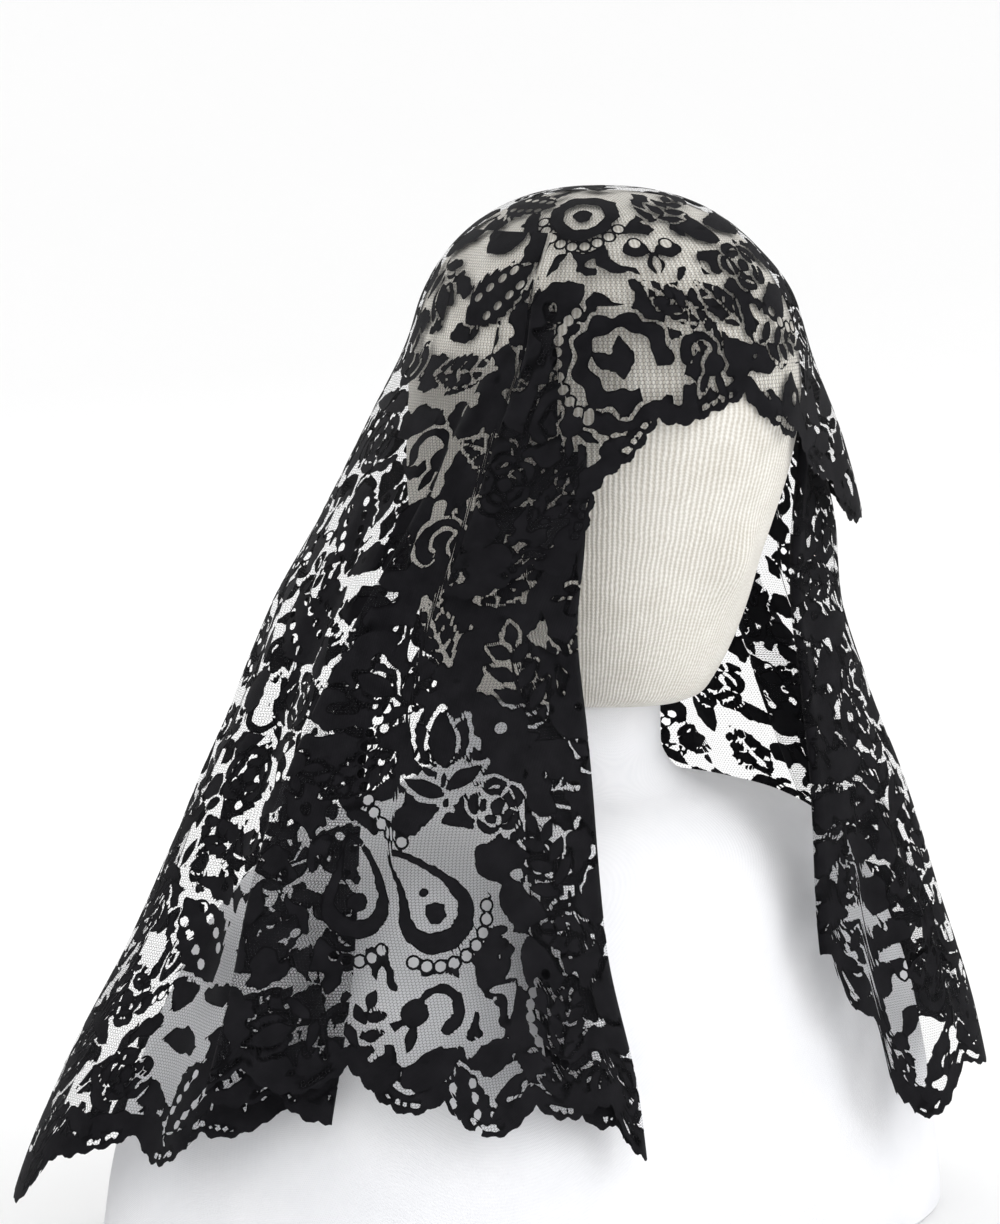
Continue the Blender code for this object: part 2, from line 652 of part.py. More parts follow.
def add_front(material, collection):
    """The crown and the front with its scalloped border, as one wall."""
    border = scalloped_border()
    seam_reach = float(reach_at(FALL_TOP))
    outer = front_plane(border[:, 0], border[:, 1])
    near_side = turned_side(seam_reach, border[-1, 1])[::-1]
    far_side = turned_side(seam_reach, border[0, 1]) * np.array([-1.0, 1.0])
    ring = np.linspace(SIDE_PLEAT, 360.0 - SIDE_PLEAT, 21)
    back = front_plane(ring, np.full(len(ring), seam_reach))
    outline = np.concatenate([outer, near_side, back, far_side])
    span = np.arange(-0.26, 0.27, FRONT_STEP)
    grid = np.stack(np.meshgrid(span, span, indexing="ij"), -1).reshape(-1, 2)
    grid[::2, 0] += FRONT_STEP * 0.25
    down = np.arange(seam_reach + 0.10, 1.9, 0.11)
    creases = [front_plane(np.full(len(down), crease), down) for crease in front_creases()]
    holes = []
    for loop in eyelet_loops(False):
        holes.append(front_plane(loop[:, 0], loop[:, 1]))
    inner = np.concatenate([grid, *creases])
    flat, triangles = flat_triangles(outline, holes, inner, 0.006, creases)
    reach = np.hypot(flat[:, 0], flat[:, 1]) / FRONT_LENGTH
    bearing = np.degrees(np.arctan2(flat[:, 0], flat[:, 1]))
    points = front_point(bearing, reach)
    return add_wall("veil_front", points, triangles, material, collection)


def add_loft(name, rings, material, collection):
    """A closed solid through rings of points, with a flat cap at each end."""
    shape = bmesh.new()
    made = [[shape.verts.new(p) for p in ring] for ring in rings]
    for upper, lower in zip(made, made[1:]):
        count = len(upper)
        for i in range(count):
            j = (i + 1) % count
            shape.faces.new((upper[i], lower[i], lower[j], upper[j]))
    shape.faces.new(made[0])
    shape.faces.new(made[-1][::-1])
    bmesh.ops.recalc_face_normals(shape, faces=shape.faces[:])
    mesh = bpy.data.meshes.new(name)
    shape.to_mesh(mesh)
    shape.free()
    mesh.materials.append(material)
    mesh.shade_smooth()
    solid = bpy.data.objects.new(name, mesh)
    collection.objects.link(solid)
    return solid


def section_ring(height, centre_y, half_width, half_depth, power):
    """A ring of points on one superellipse section."""
    angles = np.arange(FORM_SIDES) * 360.0 / FORM_SIDES
    radius = superellipse_radius(angles, half_width, half_depth, power)
    return at_bearing(angles, height, centre_y, radius)


def add_head(material, collection):
    """The featureless head, with only a low swelling where a nose would be."""
    rings = []
    for turn in np.radians((7.0, 18.0, 30.0, 43.0, 57.0, 72.0)):
        height = DOME_LEVEL + DOME_HEIGHT * math.cos(turn) ** (2 / DOME_POWER)
        scale = dome_scale(height, 0.0)
        rings.append(
            section_ring(height, DOME_CENTRE_Y, DOME_HALF_WIDTH * scale, DOME_HALF_DEPTH * scale, 2.0)
        )
    for row in HEAD_SECTIONS:
        ring = section_ring(*row)
        across = ring[:, 0] / 0.013
        level = (row[0] - 0.331) / 0.016
        front = ring[:, 1] < 0
        ring[:, 1] -= front * 0.006 * np.exp(-(across**2) - level**2)
        rings.append(ring)
    return add_loft("form_head", rings, material, collection)


def add_bust(material, collection):
    """The neck and shoulders in one closed block with a flat underside."""
    rings = [section_ring(*row) for row in BUST_SECTIONS]
    return add_loft("form_bust", rings, material, collection)


def make_material(name, colour, roughness):
    """A plain Principled material."""
    material = bpy.data.materials.new(name)
    material.use_nodes = True
    shader = material.node_tree.nodes["Principled BSDF"]
    shader.inputs["Base Color"].default_value = colour
    shader.inputs["Roughness"].default_value = roughness
    shader.inputs["Metallic"].default_value = 0.0
    return material


def clear_scene():
    """Removes whatever the scene starts with."""
    for obj in list(bpy.data.objects):
        bpy.data.objects.remove(obj, do_unlink=True)


def main():
    """Builds the form and the mantilla."""
    clear_scene()
    collection = bpy.data.collections.new("lace_mantilla_on_display_form")
    bpy.context.scene.collection.children.link(collection)
    jersey = make_material(*JERSEY)
    cover = make_material(*WHITE_COVER)
    lace = make_material(*BLACK_LACE)
    add_head(jersey, collection)
    add_bust(cover, collection)
    add_front(lace, collection)
    add_fall("veil_right_fall", NEAR_ANGLE - NEAR_TURN, 98.5, lace, collection)
    add_fall("veil_back_fall", 98.5, 262.0, lace, collection)
    add_fall("veil_left_fall", 262.0, FAR_ANGLE + FAR_TURN, lace, collection)


main()
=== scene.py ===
"""The looks of a black lace mantilla laid over a plain head-and-shoulders display form.

Metres, +Z up. The form looks along -Y. Angles round the upright axis are in degrees, 0 at the face
and positive towards the form's own right side (-X). The cloth's own coordinates are a lay angle and
a height on the falls, and a bearing and a reach on the crown.
"""

import logging
import math
from collections.abc import Callable, Iterable
from dataclasses import dataclass
from enum import Enum

import bpy
import numpy as np
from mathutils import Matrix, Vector

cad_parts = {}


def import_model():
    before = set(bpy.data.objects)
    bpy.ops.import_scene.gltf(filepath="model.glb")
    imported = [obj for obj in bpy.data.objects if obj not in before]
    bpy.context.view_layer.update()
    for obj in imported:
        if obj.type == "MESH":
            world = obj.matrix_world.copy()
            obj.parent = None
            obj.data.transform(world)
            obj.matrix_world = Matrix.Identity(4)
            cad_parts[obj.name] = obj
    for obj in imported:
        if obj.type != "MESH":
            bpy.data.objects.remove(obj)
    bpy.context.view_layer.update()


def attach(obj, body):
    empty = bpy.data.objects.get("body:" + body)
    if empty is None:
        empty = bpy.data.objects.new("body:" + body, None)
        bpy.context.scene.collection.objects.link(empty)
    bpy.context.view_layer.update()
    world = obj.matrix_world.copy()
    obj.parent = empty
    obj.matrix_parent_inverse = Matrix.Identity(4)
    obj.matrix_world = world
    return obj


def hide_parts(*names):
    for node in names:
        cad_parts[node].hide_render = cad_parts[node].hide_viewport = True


LOG = logging.getLogger("mantilla")
Array = np.ndarray
Material = bpy.types.Material
Piece = bpy.types.Object
Colour = tuple[float, float, float]
Rows = tuple[tuple[float, ...], ...]


# Curves


def monotone_curve(keys: Iterable[float], values: Iterable[float], at: Array) -> Array:
    """A smooth curve through table rows that never overshoots them.

    Cubic Hermite pieces whose tangents are the weighted harmonic mean of the slopes on both sides.

    Args:
        keys: the table's first column, rising or falling.
        values: its second column.
        at: where to read the curve; it holds its end values outside the table.

    Returns:
        The curve's values, shaped like at.
    """
    keys = np.asarray(list(keys), float)
    values = np.asarray(list(values), float)
    if keys[0] > keys[-1]:
        keys, values = keys[::-1], values[::-1]
    step = np.diff(keys)
    slope = np.diff(values) / step
    tangent = np.zeros_like(values)
    inner = slope[:-1] * slope[1:] > 0
    first = (2 * step[1:] + step[:-1]) / (3 * (step[:-1] + step[1:]))
    with np.errstate(divide="ignore", invalid="ignore"):
        harmonic = 1 / (first / slope[:-1] + (1 - first) / slope[1:])
    tangent[1:-1] = np.where(inner, harmonic, 0.0)
    tangent[0], tangent[-1] = slope[0], slope[-1]
    at = np.clip(np.asarray(at, float), keys[0], keys[-1])
    i = np.clip(np.searchsorted(keys, at) - 1, 0, len(step) - 1)
    t = (at - keys[i]) / step[i]
    return (
        (1 + 2 * t) * (1 - t) ** 2 * values[i]
        + t * (1 - t) ** 2 * step[i] * tangent[i]
        + t**2 * (3 - 2 * t) * values[i + 1]
        - t**2 * (1 - t) * step[i] * tangent[i + 1]
    )


def ease(value: Array) -> Array:
    """0 below 0, 1 above 1, and 3t^2 - 2t^3 between."""
    t = np.clip(value, 0.0, 1.0)
    return t * t * (3 - 2 * t)


@dataclass(frozen=True)
class Ramp:
    """A smooth rise from 0 to 1, from its start over its span; a span below 0 runs downwards."""

    start: float
    span: float

    def at(self, value: Array) -> Array:
        """How far the rise has come at this value."""
        return ease((value - self.start) / self.span)


def table_curve(rows: Iterable[tuple[float, ...]], at: Array, column: int = 1) -> Array:
    """The monotone curve through one column of a table, against its first column."""
    rows = list(rows)
    return monotone_curve([row[0] for row in rows], [row[column] for row in rows], at)


def lengths_along(line: Array) -> Array:
    """Metres along a line of points, from 0 at its first."""
    steps = np.linalg.norm(np.diff(line, axis=0), axis=1)
    return np.concatenate([[0], np.cumsum(steps)])


def superellipse_radius(angle: Array, half_width: Array, half_depth: Array, power: Array) -> Array:
    """Distance from the centre to the superellipse |x/w|^p + |y/d|^p = 1 in this direction.

    Args:
        angle: degrees from the front.
        half_width: w, half the section's width.
        half_depth: d, half its depth.
        power: p, 2 for an ellipse and more for a squarer section.

    Returns:
        The distance in metres.
    """
    turn = np.radians(angle)
    across = np.abs(np.sin(turn)) / half_width
    along = np.abs(np.cos(turn)) / half_depth
    return (across**power + along**power) ** (-1 / power)


def at_bearing(angle: Array, height: Array, centre: Array, radius: Array) -> Array:
    """The point at this bearing and distance from an upright axis through (0, centre)."""
    turn = np.radians(angle)
    return np.stack([-radius * np.sin(turn), centre - radius * np.cos(turn), height + 0 * turn], -1)


# The head's dome and the lace's hang


@dataclass(frozen=True)
class Dome:
    """The top of the head: a superellipsoid above its widest level."""

    top: float = 0.4965
    level: float = 0.400
    half_width: float = 0.077
    half_depth: float = 0.097
    centre_y: float = 0.001
    power: float = 2.3

    @property
    def height(self) -> float:
        """From the widest level to the crown."""
        return self.top - self.level

    def scale(self, height: Array, lift: float) -> Array:
        """The dome's width at a height as a share of its widest: (1 - t^p)^(1/p)."""
        t = np.clip((height - self.level) / (self.height + lift), 0.0, 1.0)
        return (1 - t**self.power) ** (1 / self.power)


DOME = Dome()
LACE_LIFT = 0.0020
FALL_TOP = 0.4790
# Columns: height, middle, half width, half depth, superellipse power
HEAD_ROWS = (
    (0.400, 0.001, 0.0770, 0.0970, 2.00),
    (0.372, 0.005, 0.0765, 0.0940, 2.00),
    (0.346, 0.009, 0.0740, 0.0885, 2.00),
    (0.331, 0.012, 0.0715, 0.0860, 2.00),
    (0.310, 0.014, 0.0670, 0.0810, 2.05),
    (0.291, 0.016, 0.0600, 0.0755, 2.10),
    (0.276, 0.017, 0.0520, 0.0690, 2.10),
    (0.268, 0.018, 0.0465, 0.0640, 2.10),
    (0.2645, 0.019, 0.0400, 0.0570, 2.10),
)
BUST_ROWS = (
    (0.2642, 0.030, 0.0480, 0.0500, 2.00),
    (0.2420, 0.030, 0.0485, 0.0505, 2.00),
    (0.2320, 0.030, 0.0530, 0.0540, 2.05),
    (0.2225, 0.031, 0.0700, 0.0620, 2.20),
    (0.2160, 0.031, 0.1010, 0.0710, 2.40),
    (0.2070, 0.032, 0.1320, 0.0810, 2.60),
    (0.1920, 0.032, 0.1600, 0.0910, 2.70),
    (0.1690, 0.033, 0.1840, 0.1000, 2.80),
    (0.1400, 0.035, 0.2010, 0.1080, 2.90),
    (0.1000, 0.038, 0.2150, 0.1180, 3.00),
    (0.0500, 0.040, 0.2260, 0.1260, 3.00),
    (0.0030, 0.040, 0.2300, 0.1300, 3.00),
    (0.0000, 0.040, 0.2280, 0.1280, 3.00),
)
HANG_ROWS = (
    (0.394, 0.0065, 0.0960, 0.1060, 2.00),
    (0.349, 0.0137, 0.1180, 0.1190, 2.00),
    (0.300, 0.0270, 0.1380, 0.1310, 2.00),
    (0.264, 0.0300, 0.1590, 0.1360, 2.00),
    (0.223, 0.0330, 0.1825, 0.1400, 2.15),
    (0.173, 0.0360, 0.2085, 0.1450, 2.30),
    (0.107, 0.0440, 0.2415, 0.1620, 2.45),
    (0.060, 0.0500, 0.2575, 0.1730, 2.50),
    (0.020, 0.0530, 0.2680, 0.1800, 2.50),
)
DOME_ROW_HEIGHTS = (0.4935, 0.488, 0.480, 0.470, 0.458, 0.446, 0.432)


def lace_rows() -> Array:
    """The sections of the lace's hang: those on the dome first, then the table's.

    Returns:
        Rows of height, centre, half width, half depth and power.
    """
    rows = []
    for height in DOME_ROW_HEIGHTS:
        scale = float(DOME.scale(np.array(height), LACE_LIFT))
        width = (DOME.half_width + LACE_LIFT) * scale
        depth = (DOME.half_depth + LACE_LIFT) * scale
        rows.append((height, DOME.centre_y, width, depth, 2.0))
    return np.array(rows + list(HANG_ROWS))


LACE_ROWS = lace_rows()


def hang(angle: Array, height: Array) -> tuple[Array, Array]:
    """Centre and radius of the lace's plain hang, before its folds."""
    centre, width, depth, power = (table_curve(LACE_ROWS, height, k) for k in (1, 2, 3, 4))
    return centre, superellipse_radius(angle, width, depth, power)


# The falls


@dataclass(frozen=True)
class Fold:
    """One fold of the falls: a laid pleat where it has a lap, else a soft fold."""

    angle: float
    half_width: float
    lap: float
    depth: float
    bump: float
    start: float
    full: float

    def share(self, lay: Array) -> Array:
        """Where a lay angle is in the fold, from -1 to 1."""
        return np.clip((lay - self.angle) / self.half_width, -1.0, 1.0)

    def grown(self, height: Array) -> Array:
        """How much of the fold has formed at this height."""
        return ease((self.start - height) / (self.start - self.full))


# Columns: lay angle, half width, lap, depth, bump, heights where it starts and is full
FOLDS = tuple(
    Fold(*row)
    for row in (
        (56.0, 12.0, 0.0, 0.000, -0.006, 0.300, 0.120),
        (75.0, 7.0, 0.0, 0.000, 0.004, 0.300, 0.150),
        (90.0, 7.5, 8.5, 0.0130, 0.004, 0.430, 0.180),
        (105.5, 6.5, 0.0, 0.000, -0.008, 0.420, 0.200),
        (117.0, 7.0, 0.0, 0.000, 0.006, 0.400, 0.120),
        (129.0, 7.0, 0.0, 0.000, -0.010, 0.360, 0.100),
        (141.0, 9.0, 0.0, 0.000, 0.006, 0.400, 0.100),
        (158.0, 9.0, 1.9, 0.0070, -0.004, 0.400, 0.120),
        (176.0, 9.0, 0.0, 0.000, 0.008, 0.400, 0.120),
        (193.0, 8.0, 0.0, 0.000, -0.012, 0.380, 0.110),
        (211.0, 9.0, 1.9, 0.0075, 0.003, 0.400, 0.120),
        (229.0, 9.0, 0.0, 0.000, -0.010, 0.380, 0.120),
        (246.0, 8.0, 0.0, 0.000, 0.008, 0.400, 0.120),
        (254.5, 6.5, 0.0, 0.000, -0.008, 0.420, 0.200),
        (270.0, 7.5, 8.0, 0.0130, 0.004, 0.430, 0.180),
        (288.0, 9.0, 0.0, 0.000, -0.007, 0.360, 0.130),
        (309.0, 8.0, 0.0, 0.000, 0.008, 0.330, 0.130),
        (324.0, 7.0, 0.0, 0.000, -0.006, 0.300, 0.130),
    )
)
# Columns: height, near angle, far angle
FALL_EDGES = (
    (0.470, 56.0, 329.0), (0.400, 53.0, 330.0), (0.314, 47.5, 333.0), (0.255, 44.0, 334.5),
    (0.173, 41.6, 338.0), (0.110, 36.0, 341.0), (0.040, 32.0, 342.0),
)
# Columns: angle, degrees that the lower cloth swings forward
FALL_SWING = (
    (25.0, 0.0), (60.0, -6.0), (90.0, -12.5), (120.0, -9.0), (150.0, -3.0), (180.0, 0.0),
    (210.0, 3.0), (240.0, 8.0), (270.0, 11.0), (300.0, 5.0), (338.0, 0.0),
)
# Columns: lay angle, height of the lower edge
FALL_HEM = (
    (25.0, 0.120), (40.0, 0.084), (43.0, 0.090), (49.0, 0.109), (60.0, 0.106), (70.0, 0.115),
    (80.0, 0.127), (86.0, 0.126), (91.0, 0.114), (95.0, 0.110), (98.0, 0.094), (104.0, 0.087),
    (110.0, 0.088), (114.0, 0.075), (118.0, 0.058), (128.0, 0.050), (142.0, 0.046), (165.0, 0.053),
    (190.0, 0.056), (215.0, 0.052), (240.0, 0.062), (265.0, 0.078), (285.0, 0.084), (300.0, 0.089),
    (310.0, 0.086), (318.0, 0.072), (322.0, 0.065), (325.0, 0.085), (328.0, 0.117), (333.0, 0.129),
    (338.0, 0.150), (350.0, 0.172),
)


@dataclass(frozen=True)
class Falls:
    """The lace that hangs round the form, from one turned front edge to the other."""

    near_angle: float = 40.0
    far_angle: float = 338.0
    turn_depth: float = 0.0050
    crease_width: float = 1.5
    edge_reach: float = 34.0
    edge_tuck: float = 0.019
    edge_top: float = 0.3850
    hidden_top: float = 0.4520
    lap_gain: float = 1.3
    tucked: Ramp = Ramp(0.42, -0.09)
    swung: Ramp = Ramp(0.360, 0.080 - 0.360)
    covered: Ramp = Ramp(78.5, -1.2)
    behind_flap: Ramp = Ramp(44.0, 26.0)
    far_strip: float = 318.0

    def point(self, lay: Array, height: Array) -> Array:
        """A point of the falls.

        The angle is the lay angle moved by the front edges' lines, the forward swing and each
        pleat's lap; the radius is the plain hang's, moved by each fold's wave and bump.

        Args:
            lay: the angle at which the cloth would lie without its folds, in degrees.
            height: height above the floor.

        Returns:
            Points, shape (..., 3).
        """
        lay = np.asarray(lay, float)
        height = np.asarray(height, float) + 0 * lay
        shown = np.where(lay < self.near_angle, 2 * self.near_angle - lay, lay)
        shown = np.where(lay > self.far_angle, 2 * self.far_angle - lay, shown)
        near_share = 1 - ease((shown - self.near_angle) / self.edge_reach)
        far_share = 1 - ease((self.far_angle - shown) / self.edge_reach)
        angle = shown + (table_curve(FALL_EDGES, height, 1) - self.near_angle) * near_share
        angle = angle + (table_curve(FALL_EDGES, height, 2) - self.far_angle) * far_share
        angle = angle + table_curve(FALL_SWING, shown) * self.swung.at(height)
        offset = -self.edge_tuck * (near_share**2 + far_share**2) * self.tucked.at(height)
        for fold in FOLDS:
            t, grown = fold.share(shown), fold.grown(height)
            wave = -np.sin(math.pi * t)
            angle = angle + self.lap_gain * fold.lap * wave * (1 - t**2) * grown
            offset = offset + fold.depth * wave * (1 - t**4) * np.sqrt(grown)
            offset = offset + fold.bump * (1 - t**2) ** 2 * grown
        past = np.maximum(self.near_angle - lay, lay - self.far_angle)
        offset = offset - self.turn_depth * ease((past / self.crease_width + 1) / 2)
        centre_y, radius = hang(angle, height)
        return at_bearing(angle, height, centre_y, radius + offset)

    def top(self, lay: Array) -> Array:
        """Height of the upper edge: at the crown's seam, or hidden under the front.

        Args:
            lay: lay angles in degrees.

        Returns:
            Heights in metres.
        """
        inward = np.minimum(lay, 360.0 - lay)
        covered = self.covered.at(inward)
        slope = self.edge_top + (self.hidden_top - self.edge_top) * self.behind_flap.at(inward)
        hidden = np.where(lay > self.far_strip, self.edge_top, slope)
        return FALL_TOP * (1 - covered) + hidden * covered


FALLS = Falls()


# The crown and the flaps at the temples


# Columns: bearing, height of the front edge
CROWN_BORDER = (
    (-85.0, 0.362), (-76.0, 0.350), (-60.0, 0.347), (-45.0, 0.348), (-38.0, 0.351), (-32.0, 0.361),
    (-26.0, 0.373), (-15.0, 0.384), (-6.0, 0.392), (0.0, 0.400), (8.0, 0.403), (20.0, 0.407),
    (32.0, 0.399), (42.0, 0.388), (48.0, 0.379), (50.5, 0.355), (53.0, 0.341), (60.0, 0.334),
    (70.0, 0.329), (76.0, 0.327), (85.0, 0.345),
)


@dataclass(frozen=True)
class Crown:
    """The lace over the top of the head, and the flaps turned back at the temples."""

    side_pleat: float = 76.0
    pleat_turn: float = 9.0
    pleat_depth: float = 0.0030
    pleat_lift: float = 0.0052
    crease_width: float = 1.5
    far_flare: float = 0.011
    pleated: Ramp = Ramp(FALL_TOP, -0.030)
    flared_by_bearing: Ramp = Ramp(-32.0, -26.0)
    flared_by_height: Ramp = Ramp(0.455, -0.075)
    near_flap: Ramp = Ramp(12.0, 40.0)
    far_flap: Ramp = Ramp(-12.0, -32.0)
    off_head: Ramp = Ramp(FALL_TOP + 0.006, -0.02)
    strip_widens: Ramp = Ramp(FALL_TOP - 0.013, -0.030)

    def height(self, reach: Array) -> Array:
        """Height at this reach, its share of the way down the dome, over 1 below it.

        Args:
            reach: share of the way down the dome.

        Returns:
            Heights in metres.
        """
        turn = np.radians(90.0 * np.clip(reach, 0.0, 1.0))
        dome = DOME.level + (DOME.height + LACE_LIFT) * np.cos(turn) ** (2 / DOME.power)
        return dome - np.clip(reach - 1.0, 0.0, None) * DOME.height

    def reach(self, height: Array) -> Array:
        """The reach at which the front is at this height.

        Args:
            height: metres above the floor.

        Returns:
            The reach.
        """
        height = np.asarray(height, float)
        t = np.clip((height - DOME.level) / (DOME.height + LACE_LIFT), 0.0, 1.0)
        on_dome = np.degrees(np.arccos(t ** (DOME.power / 2))) / 90.0
        return np.where(height < DOME.level, 1.0 + (DOME.level - height) / DOME.height, on_dome)

    def point(self, bearing: Array, reach: Array) -> Array:
        """A point of the crown or the flaps.

        The dome's skin over the head, blended by height and bearing into the lace's hang, which is
        lifted over the falls and turned back on itself past the side pleat.

        Args:
            bearing: direction from the crown in degrees, -180 to 180.
            reach: share of the way down the dome, over 1 below it.

        Returns:
            Points, shape (..., 3).
        """
        bearing = np.asarray(bearing, float)
        side = np.abs(bearing)
        turned = np.clip(side - self.side_pleat, 0.0, None)
        height = self.height(reach)
        pleat = self.pleated.at(height)
        angle = np.sign(bearing) * (side - 2 * turned * pleat)
        scale = np.sin(np.radians(90.0 * np.clip(reach, 0.0, 1.0))) ** (2 / DOME.power)
        on_head = superellipse_radius(
            angle, DOME.half_width + LACE_LIFT, DOME.half_depth + LACE_LIFT, 2.0
        )
        crown = at_bearing(angle, height, DOME.centre_y, on_head * scale)
        centre_y, hung = hang(angle, np.minimum(height, LACE_ROWS[0, 0]))
        tucked = ease(((side - self.side_pleat) / self.crease_width + 1) / 2)
        lift = (self.pleat_lift - self.pleat_depth * tucked) * pleat
        flare = self.flared_by_bearing.at(bearing) * self.flared_by_height.at(height)
        flap = at_bearing(angle, height, centre_y, hung + lift + self.far_flare * flare)
        side_share = np.maximum(self.near_flap.at(bearing), self.far_flap.at(bearing))
        share = side_share * self.off_head.at(height)
        return crown * (1 - share[..., None]) + flap * share[..., None]


CROWN = Crown()
CROWN_DOWN = 0.146
SCALLOP_PITCH = 0.046
SCALLOP_DEPTH = 0.0055


def scallop(distance: Array) -> Array:
    """How far the edge stands out: (2 |sin(pi d / pitch)|^0.8 - 1) times the depth."""
    return SCALLOP_DEPTH * (2 * np.abs(np.sin(math.pi * distance / SCALLOP_PITCH)) ** 0.8 - 1)


# Maps of the cloth, in metres along it


@dataclass(frozen=True)
class LengthTable:
    """Lengths along a surface's rows, kept on an even table and read between its entries."""

    first: tuple[float, float]
    step: tuple[float, float]
    lengths: Array

    @classmethod
    def along_rows(
        cls, point: Callable[[Array, Array], Array], across: Array, down: Array, origin: float
    ) -> "LengthTable":
        """Measures the length along each row of a surface, from one place across.

        Each entry is the sum of the straight steps from the origin to there, at one value down.

        Args:
            point: the surface.
            across: even values along a row.
            down: even values, one for each row.
            origin: the value across where every length is 0.

        Returns:
            The table.
        """
        a, d = np.meshgrid(across, down, indexing="ij")
        steps = np.linalg.norm(np.diff(point(a, d), axis=0), axis=-1)
        lengths = np.concatenate([np.zeros((1, len(down))), np.cumsum(steps, axis=0)])
        lengths = lengths - lengths[int(np.abs(across - origin).argmin())]
        return cls((across[0], down[0]), (across[1] - across[0], down[1] - down[0]), lengths)

    def read(self, across: Array, down: Array) -> Array:
        """The length at each place, straight between the table's entries.

        Args:
            across: the surface's first coordinate.
            down: its second.

        Returns:
            Metres from the origin along each place's row.
        """
        rows, columns = self.lengths.shape
        u = np.clip((across - self.first[0]) / self.step[0], 0, rows - 1.001)
        v = np.clip((down - self.first[1]) / self.step[1], 0, columns - 1.001)
        i, j = u.astype(int), v.astype(int)
        u, v = u - i, v - j
        low = self.lengths[i, j] * (1 - u) + self.lengths[i + 1, j] * u
        high = self.lengths[i, j + 1] * (1 - u) + self.lengths[i + 1, j + 1] * u
        return low * (1 - v) + high * v


@dataclass(frozen=True)
class ClothMap:
    """A cloth surface with its own two coordinates, and lengths along it from any place.

    The down sign is 1 where the second coordinate grows down the cloth, and -1 where it falls. The
    probe is the small step of that coordinate over which the cloth's slope is measured.
    """

    point: Callable[[Array, Array], Array]
    table: LengthTable
    down_sign: float
    probe: float

    def across(self, places: Array) -> Array:
        """Length along the cloth's own row from the map's origin."""
        return self.table.read(places[:, 0], places[:, 1])

    def down_rate(self, centre: Array) -> float:
        """Metres along the cloth for a unit down its own second coordinate, at one place.

        Args:
            centre: the place.

        Returns:
            The cloth's slope there.
        """
        down = centre[1] + np.array([0.0, self.probe])
        here, below = self.point(np.full(2, centre[0]), down)
        return float(np.linalg.norm(below - here)) / abs(self.probe)

    def local(self, places: Array, centre: Array) -> tuple[Array, Array]:
        """Metres across and down the cloth from one place to others.

        Across is the difference of two lengths along the other place's row; down is the
        difference of the second coordinate times the cloth's slope at the centre.

        Args:
            places: the other places.
            centre: the place to measure from.

        Returns:
            Metres across and metres down.
        """
        spots = np.stack([np.full(len(places), centre[0]), places[:, 1]], -1)
        x = self.across(places) - self.across(spots)
        y = (places[:, 1] - centre[1]) * self.down_sign * self.down_rate(centre)
        return x, y


def falls_map() -> ClothMap:
    """The falls' map, whose second coordinate is height and runs down with it falling."""
    across, down = np.arange(20.0, 355.1, 0.25), np.arange(0.02, 0.486, 0.005)
    return ClothMap(
        FALLS.point, LengthTable.along_rows(FALLS.point, across, down, 98.5), -1.0, -0.002
    )


def crown_map() -> ClothMap:
    """The crown's map, whose second coordinate is reach and grows downwards."""
    across, down = np.arange(-180.0, 180.1, 0.5), np.arange(0.02, 1.96, 0.01)
    return ClothMap(
        CROWN.point, LengthTable.along_rows(CROWN.point, across, down, 45.0), 1.0, 0.01
    )


# Cutting a fine mesh along a line


SHORTEST_CUT = 0.06


@dataclass
class FineMesh:
    """Triangles in a surface's own coordinates, with any values carried at their corners."""

    values: Array
    triangles: Array

    @property
    def places(self) -> Array:
        """The surface's own two coordinates at every corner."""
        return self.values[:, :2]

    def split(self, level: Array) -> tuple["FineMesh", Array]:
        """Cuts the triangles where the level passes through 0.

        A triangle with one corner on one side becomes a tip and two others: each cut edge gets a
        point at v0 / (v0 - v1) of its length, where v0 and v1 are its ends' levels.

        Args:
            level: one number at every corner.

        Returns:
            The cut mesh, and for each of its triangles whether its level is above 0.
        """
        above = level > 0
        sides = above[self.triangles]
        mixed = (sides.sum(1) % 3) != 0
        whole, cut, cut_sides = self.triangles[~mixed], self.triangles[mixed], sides[mixed]
        lone = cut_sides.sum(1) == 1
        odd = np.where(lone[:, None], cut_sides, ~cut_sides).argmax(1)
        a, b, c = np.take_along_axis(cut, (odd[:, None] + np.arange(3)) % 3, 1).T
        ends = np.sort(np.concatenate([np.stack([a, b], 1), np.stack([a, c], 1)]), axis=1)
        ends, index = np.unique(ends, axis=0, return_inverse=True)
        index = index.reshape(-1)
        start, stop = level[ends[:, 0]], level[ends[:, 1]]
        share = np.clip(start / (start - stop), SHORTEST_CUT, 1 - SHORTEST_CUT)[:, None]
        made = self.values[ends[:, 0]] * (1 - share) + self.values[ends[:, 1]] * share
        ab, ac = len(self.values) + index[: len(a)], len(self.values) + index[len(a) :]
        tip, near, far = (np.stack(t, 1) for t in ((a, ab, ac), (ab, b, c), (ab, c, ac)))
        triangles = np.concatenate([whole, tip, near, far])
        inside = np.concatenate([sides[~mixed][:, 0], lone, ~lone, ~lone])
        return FineMesh(np.concatenate([self.values, made]), triangles), inside

    def kept(self, level: Array) -> "FineMesh":
        """The part of the mesh where the level is above 0, without the corners it leaves.

        Args:
            level: one number at every corner.

        Returns:
            The cut mesh.
        """
        mesh, inside = self.split(level)
        used, index = np.unique(mesh.triangles[inside], return_inverse=True)
        return FineMesh(mesh.values[used], index.reshape(-1, 3))


